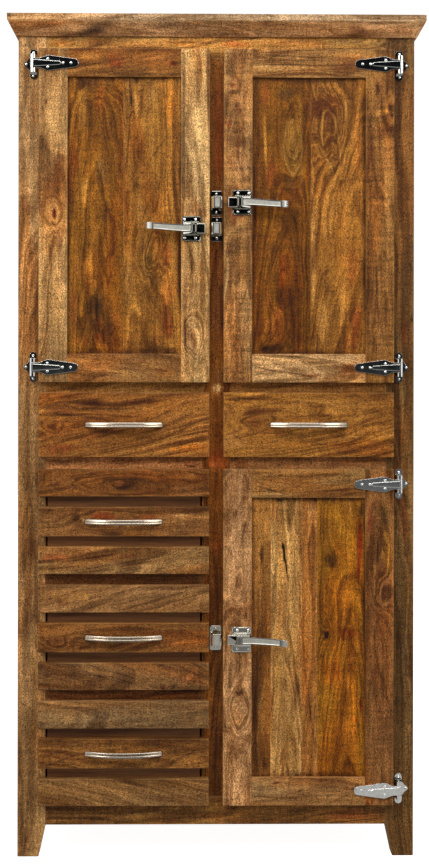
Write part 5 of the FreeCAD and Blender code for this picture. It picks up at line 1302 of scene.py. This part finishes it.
def bright_metal(name, ground, rough, streaks, grime=0.5):
    """Plated metal. Its polish is clouded, and painted shade, with some dirt, darkens the hollows of a
    casting and the sides of a lever.
    """
    paint, tree = blank_paint(name)
    place = put(tree, "ShaderNodeTexCoord").outputs["Object"]
    cloud = noise(tree, place, 4.0, 0.6, scale=120.0)
    brush = noise(tree, vector(tree, "MULTIPLY", place, streaks), 3.0, 0.6)
    shade = span(tree, cloud, 0.35, 0.65, 1.0 - 0.3 * grime, 1.05)
    colour = scaled(tree, ground, shade)
    spot = span(tree, noise(tree, place, 2.0, 0.5, scale=420.0), 0.60, 0.70, 0.0, grime, smooth=True)
    tarnish = (ground[0] * 0.35, ground[1] * 0.32, ground[2] * 0.28, 1)
    colour = blend(tree, "MIX", spot, colour, tarnish)
    # painted shade, with some dirt, darkens the hollows of a casting and the sides of a lever
    dirt_and_shade = sums(tree, "MULTIPLY", attribute(tree, "dirt_and_shade"), shade)
    colour = blend(tree, "MIX", dirt_and_shade, colour, (0.03, 0.03, 0.028, 1))
    # the floor of a flute is only brushed, so it stays grey where the polish around it turns dark
    roughness = span(tree, brush, 0.3, 0.7, rough * 0.7, rough * 1.4)
    roughness = sums(tree, "MULTIPLY_ADD", attribute(tree, "satin"), 0.34, roughness)
    bump = put(tree, "ShaderNodeBump", Strength=0.05, Distance=0.0002, Height=brush)
    skin = put(tree, "ShaderNodeBsdfPrincipled", Base_Color=colour, Roughness=roughness,
               Normal=bump.outputs[0], Metallic=1.0)
    put(tree, "ShaderNodeOutputMaterial", Surface=skin.outputs[0])
    return paint


polished = bright_metal("polished_nickel", (0.86, 0.855, 0.81), 0.09, (60, 60, 60), 0.4)
latch_metal = bright_metal("latch_nickel", (0.90, 0.865, 0.75), 0.09, (60, 60, 60), 0.35)
brushed = bright_metal("brushed_nickel", (0.37, 0.30, 0.225), 0.25, (4, 1100, 1100), 0.0)
bare_steel = bright_metal("bare_steel", (0.70, 0.69, 0.67), 0.25, (80, 80, 80), 0.6)


def casting(node, name, body, paint, round_by, shaped=None):
    """A casting from the joined skin of a CAD node, whose sharp edges are rounded by a radius in
    millimetres. shaped works its faces over first."""
    shape = bmesh.new()
    shape.from_mesh(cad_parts[node].data)
    bmesh.ops.remove_doubles(shape, verts=shape.verts, dist=2e-5)
    bmesh.ops.dissolve_limit(shape, angle_limit=math.radians(1.0), verts=shape.verts, edges=shape.edges)
    dirt_and_shade, satin = shape.verts.layers.float.new("dirt_and_shade"), shape.verts.layers.float.new("satin")
    if shaped:
        shaped(shape, dirt_and_shade, satin)
    mesh = bpy.data.meshes.new(name)
    shape.to_mesh(mesh)
    shape.free()
    mesh.polygons.foreach_set("use_smooth", [round_by > 0] * len(mesh.polygons))
    mesh.materials.append(paint)
    made = add(name, mesh)
    if round_by:
        soft = made.modifiers.new("soft_edges", "BEVEL")
        soft.width, soft.segments = round_by / 1000, 3
        soft.limit_method, soft.angle_limit = "ANGLE", math.radians(38)
        soft.harden_normals = True
        flat = made.modifiers.new("flats", "WEIGHTED_NORMAL")
        flat.keep_sharp, flat.weight = True, 100
    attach(made, body)
    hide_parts(node)
    return made


casting("hinge_leaves", "hinge_leaf_castings", "carcass", polished, 0.9)
casting("hinge_pins", "hinge_pin_rods", "carcass", bare_steel, 0.4)
for body in ("upper_left_door", "upper_right_door", "lower_door"):
    casting(f"{body}_straps", f"{body}_strap_castings", body, polished, 1.3)

# Latches
# Each door has an icebox latch: a case with two sloping cheeks screwed to the stile, a lever that
# swings out on a pin, a bolt and its spring. A hooked keeper for each is screwed to the centre post.


def fluted(shape, dirt_and_shade, satin):
    """Sinks a flute into the long front face of a lever, which leaves a raised rim round it."""
    fronts = [f for f in shape.faces if f.normal.y < -0.85 and f.calc_area() > 2.5e-4]
    # the sides are painted dark as shade up to the flared end
    tip = max((v.co.x for v in shape.verts), key=abs)
    for vert in shape.verts:
        vert[dirt_and_shade] = 0.0 if abs(vert.co.x - tip) < 0.007 else 0.65
    if fronts:
        bmesh.ops.inset_region(shape, faces=fronts, thickness=0.0017, use_even_offset=True)
        bmesh.ops.inset_region(shape, faces=fronts, thickness=0.0010, depth=-0.0009, use_even_offset=True)
        for face in fronts:
            for vert in face.verts:
                vert[satin], vert[dirt_and_shade] = 1.0, 0.0


def recessed(shape, dirt_and_shade, satin):
    """Sinks the broad faces of a latch case a little inside a raised rim, as such castings have."""
    fronts = [f for f in shape.faces if f.normal.y < -0.9 and f.calc_area() > 1.2e-4]
    if fronts:
        bmesh.ops.inset_individual(shape, faces=fronts, thickness=0.0016)
        bmesh.ops.inset_individual(shape, faces=fronts, thickness=0.0008, depth=-0.0008)
        # the sunk faces are painted darker: painted shade, with some dirt
        for face in fronts:
            for vert in face.verts:
                vert[dirt_and_shade] = 0.45


def nosed(shape, dirt_and_shade, satin):
    """Leaves the rim of a bolt's front brushed round a polished middle."""
    for vert in shape.verts:
        vert[satin] = 1.0
    fronts = [f for f in shape.faces if f.normal.y < -0.9]
    bmesh.ops.inset_region(shape, faces=fronts, thickness=0.0028, use_even_offset=True)
    for face in fronts:
        for vert in face.verts:
            vert[satin] = 0.0


def hooded(shape, dirt_and_shade, satin):
    """Leaves the middle of a keeper's hood brushed inside a polished rim."""
    foremost = min(v.co.y for v in shape.verts)
    fronts = [f for f in shape.faces if f.normal.y < -0.9 and f.calc_center_median().y < foremost + 0.002]
    bmesh.ops.inset_individual(shape, faces=fronts, thickness=0.0055)
    for face in fronts:
        for vert in face.verts:
            vert[satin] = 1.0


for body, stem in (
    ("upper_left_door", "upper_left"), ("upper_right_door", "upper_right"), ("lower_door", "lower"),
):
    casting(f"{stem}_latch_case", f"{stem}_latch_case_casting", body, latch_metal, 0.8, recessed)
    casting(f"{stem}_latch_lever", f"{stem}_latch_lever_casting", f"{stem}_lever", latch_metal, 0.9, fluted)
    casting(
        f"{stem}_latch_bolt", f"{stem}_latch_bolt_bar", f"{stem}_bolt", latch_metal, 1.0, nosed,
    )
    spring = casting(
        f"{stem}_latch_spring", f"{stem}_latch_spring_leaf", body, bare_steel, 0,
    )
    # the bolt presses the spring against the end wall of its case
    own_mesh(spring)
casting("latch_keepers", "keeper_castings", "carcass", latch_metal, 2.0, hooded)

# Handles
# Bow handles of flat bar, bent to an arc and screwed on from inside the drawer. Two reeds run along
# their front: the upper one takes the light and the lower one the floor.


def bow(name, body, node):
    """A reeded bar bent to an arc between the ends of the CAD handle."""
    low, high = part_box(node)
    half, reach, tall = (high.x - low.x) / 2, high.y - low.y, high.z - low.z
    outer = (half * half + reach * reach) / (2 * reach)
    middle, centre_y, z = (low.x + high.x) / 2, low.y + outer, (low.z + high.z) / 2
    # two broad reeds that lean up to the light, a groove between them, a rounded foot and a flat back:
    # depth behind the front in millimetres, and height as a share of half the bar's
    outline = (
        (3.2, 1.0), (2.2, 0.99), (1.4, 0.92), (0.95, 0.68), (0.5, 0.40), (0.15, 0.18), (0.0, 0.06),
        (0.25, -0.01), (1.2, -0.05), (1.3, -0.12), (0.7, -0.20), (0.35, -0.40), (0.1, -0.56), (0.0, -0.64),
        (0.2, -0.74), (0.8, -0.88), (1.5, -0.98), (2.2, -1.0), (4.2, -0.98), (4.9, -0.85), (5.0, -0.5),
        (5.0, 0.5), (4.9, 0.85), (4.2, 0.98),
    )
    section = [(outer - depth / 1000, z + up * tall / 2) for depth, up in outline]
    count = len(section)
    shape = bmesh.new()
    rings = []
    for i in range(61):
        t = -1 + 2 * i / 60
        ring = []
        for radius, up in section:
            turn = t * math.acos((outer - reach) / radius)
            ring.append(
                shape.verts.new((middle + radius * math.sin(turn), centre_y - radius * math.cos(turn), up))
            )
        rings.append(ring)
    for a, b in zip(rings, rings[1:]):
        for k in range(count):
            m = (k + 1) % count
            shape.faces.new((a[k], a[m], b[m], b[k])).smooth = True
    shape.faces.new(rings[0])
    shape.faces.new(rings[-1])
    bmesh.ops.recalc_face_normals(shape, faces=shape.faces)
    mesh = bpy.data.meshes.new(name)
    shape.to_mesh(mesh)
    shape.free()
    mesh.materials.append(brushed)
    made = add(name, mesh)
    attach(made, body)
    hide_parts(node)
    return made


for drawer in drawers:
    bow(f"{drawer}_bow_handle", drawer, f"{drawer}_handle")

# Screws
# Slotted oval-head screws, plated like the castings: four in each strap and case, three in each
# leaf and two in each keeper. One head is made once and set at every hole, turned at random.


def screw_head():
    """A domed head with a slot cut across it, its seat at the origin and its top towards -Y."""
    shape = bmesh.new()
    sides, half_slot = 16, 0.00045
    # radius and height of the dome in millimetres, from its top down to its rim
    profile = [(0.0, -1.5), (0.9, -1.45), (1.7, -1.25), (2.4, -0.9), (2.9, -0.45), (3.1, 0.0), (3.1, 0.4)]
    rings = []
    for radius, y in profile:
        if radius == 0:
            rings.append([shape.verts.new((0, y / 1000, 0))])
        else:
            ring = []
            for t in np.linspace(0, 2 * math.pi, sides, endpoint=False):
                place = (radius / 1000 * math.cos(t), y / 1000, radius / 1000 * math.sin(t))
                ring.append(shape.verts.new(place))
            rings.append(ring)
    for k in range(sides):
        shape.faces.new((rings[0][0], rings[1][k], rings[1][(k + 1) % sides]))
    for a, b in zip(rings[1:], rings[2:]):
        for k in range(sides):
            m = (k + 1) % sides
            shape.faces.new((a[k], b[k], b[m], a[m]))
    for x in (-half_slot, half_slot):
        geom = shape.verts[:] + shape.edges[:] + shape.faces[:]
        bmesh.ops.bisect_plane(shape, geom=geom, plane_co=(x, 0, 0), plane_no=(1, 0, 0), dist=1e-7)
    slot = [f for f in shape.faces if abs(f.calc_center_median().x) < half_slot * 0.97]
    made = bmesh.ops.extrude_face_region(shape, geom=slot)
    floor_verts = [v for v in made["geom"] if isinstance(v, bmesh.types.BMVert)]
    # the slot is 1.1 mm deep at the top of the dome and ends level at its rim
    for v in floor_verts:
        v.co.y = min(v.co.y + 0.0011, 0.0003)
    bmesh.ops.delete(shape, geom=slot, context="FACES_ONLY")
    bmesh.ops.recalc_face_normals(shape, faces=shape.faces)
    mesh = bpy.data.meshes.new("screw_head")
    shape.to_mesh(mesh)
    shape.free()
    mesh.polygons.foreach_set("use_smooth", [True] * len(mesh.polygons))
    mesh.materials.append(polished)
    return add("screw_head", mesh)


def screw_tree(head):
    """Sets one head on each point, turned about its own axis, and joins them."""
    tree = bpy.data.node_groups.new("screws", "GeometryNodeTree")
    tree.interface.new_socket("Geometry", in_out="INPUT", socket_type="NodeSocketGeometry")
    tree.interface.new_socket("Size", in_out="INPUT", socket_type="NodeSocketFloat")
    tree.interface.new_socket("Seed", in_out="INPUT", socket_type="NodeSocketInt")
    tree.interface.new_socket("Geometry", in_out="OUTPUT", socket_type="NodeSocketGeometry")
    source = put(tree, "NodeGroupInput")
    told = put(tree, "GeometryNodeObjectInfo", Object=head)
    turn = put(tree, "FunctionNodeRandomValue", {"data_type": "FLOAT"})
    for socket in turn.inputs:
        if socket.name == "Seed":
            tree.links.new(source.outputs["Seed"], socket)
    turn.inputs[2].default_value, turn.inputs[3].default_value = 0.0, math.pi
    way = put(tree, "ShaderNodeCombineXYZ", Y=turn.outputs[1])
    placed = put(
        tree, "GeometryNodeInstanceOnPoints", Points=source.outputs["Geometry"],
        Instance=told.outputs["Geometry"], Rotation=way.outputs[0], Scale=source.outputs["Size"],
    )
    real = put(tree, "GeometryNodeRealizeInstances", Geometry=placed.outputs[0])
    painted = put(tree, "GeometryNodeSetMaterial", Geometry=real.outputs[0], Material=polished)
    put(tree, "NodeGroupOutput", Geometry=painted.outputs[0])
    return tree


# the heads are drawn 6.2 mm wide and set a little smaller
SCREW_SIZE = 0.95
head = screw_head()
screws = screw_tree(head)
sockets = [socket for socket in screws.interface.items_tree if socket.in_out == "INPUT"]
heads = {socket.name: socket.identifier for socket in sockets}


def seat(node, x, z):
    """The y of a CAD node's front surface at a place, where a screw head sits."""
    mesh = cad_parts[node].data
    tree = BVHTree.FromPolygons([v.co for v in mesh.vertices], [p.vertices for p in mesh.polygons])
    hit = tree.ray_cast(Vector((x, -1.0, z)), Vector((0, 1, 0)))
    return hit[0].y if hit[0] else None


def fasten(name, body, places, seed):
    """Screws at the given (node, x, z) places of one body, as one plain mesh."""
    points = []
    for node, x, z in places:
        y = seat(node, x, z)
        if y is None:
            print("no seat for a screw at", node, x, z)
        else:
            points.append((x, y, z))
    mesh = bpy.data.meshes.new(name)
    mesh.from_pydata(points, [], [])
    made = add(name, mesh)
    nodes = made.modifiers.new("screws", "NODES")
    nodes.node_group = screws
    nodes[heads["Size"]] = SCREW_SIZE
    nodes[heads["Seed"]] = seed
    bpy.context.view_layer.update()
    plain = bpy.data.meshes.new_from_object(made.evaluated_get(bpy.context.evaluated_depsgraph_get()))
    made.modifiers.remove(nodes)
    made.data = plain
    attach(made, body)
    return made


# where the holes lie, in millimetres: in a strap and a leaf from the hinge's pin, in a case from the
# inner edge of the door, in a keeper from the middle of the cabinet
STRAP_HOLES, LEAF_HOLES = ((31.6, 8.6), (31.6, -8.6), (64, 0), (81, 0)), ((0, 24.7), (0, -24.7), (-15.5, 0))
CASE_HOLES = ((29.9, 20.0), (29.9, -20.0), (53.6, 20.0), (53.6, -20.0))
KEEPER_HOLES = ((-0.7, 19.5), (-0.7, -19.5))
PIN_AXIS = 0.3915
leaf_places, keeper_places = [], []
for body, stem, side, hinge_heights, latch_height, seed in (
    ("upper_left_door", "upper_left", -1, (1.047, 1.694), 1.3425, 5),
    ("upper_right_door", "upper_right", 1, (1.047, 1.694), 1.3985, 6),
    ("lower_door", "lower", 1, (0.145, 0.798), 0.468, 7),
):
    places = []
    for z in hinge_heights:
        for holes, node, found in (
            (STRAP_HOLES, f"{body}_straps", places), (LEAF_HOLES, "hinge_leaves", leaf_places),
        ):
            for run, rise in holes:
                found.append((node, side * PIN_AXIS - side * run / 1000, z + rise / 1000))
    for run, rise in CASE_HOLES:
        places.append((f"{stem}_latch_case", side * (INNER + run / 1000), latch_height + rise / 1000))
    for run, rise in KEEPER_HOLES:
        keeper_places.append(("latch_keepers", side * run / 1000, latch_height + rise / 1000))
    fasten(f"{body}_screws", body, places, seed)
fasten("hinge_leaf_screws", "carcass", leaf_places, 11)
fasten("keeper_screws", "carcass", keeper_places, 12)
bpy.data.objects.remove(head)

bpy.context.view_layer.update()
low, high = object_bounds()
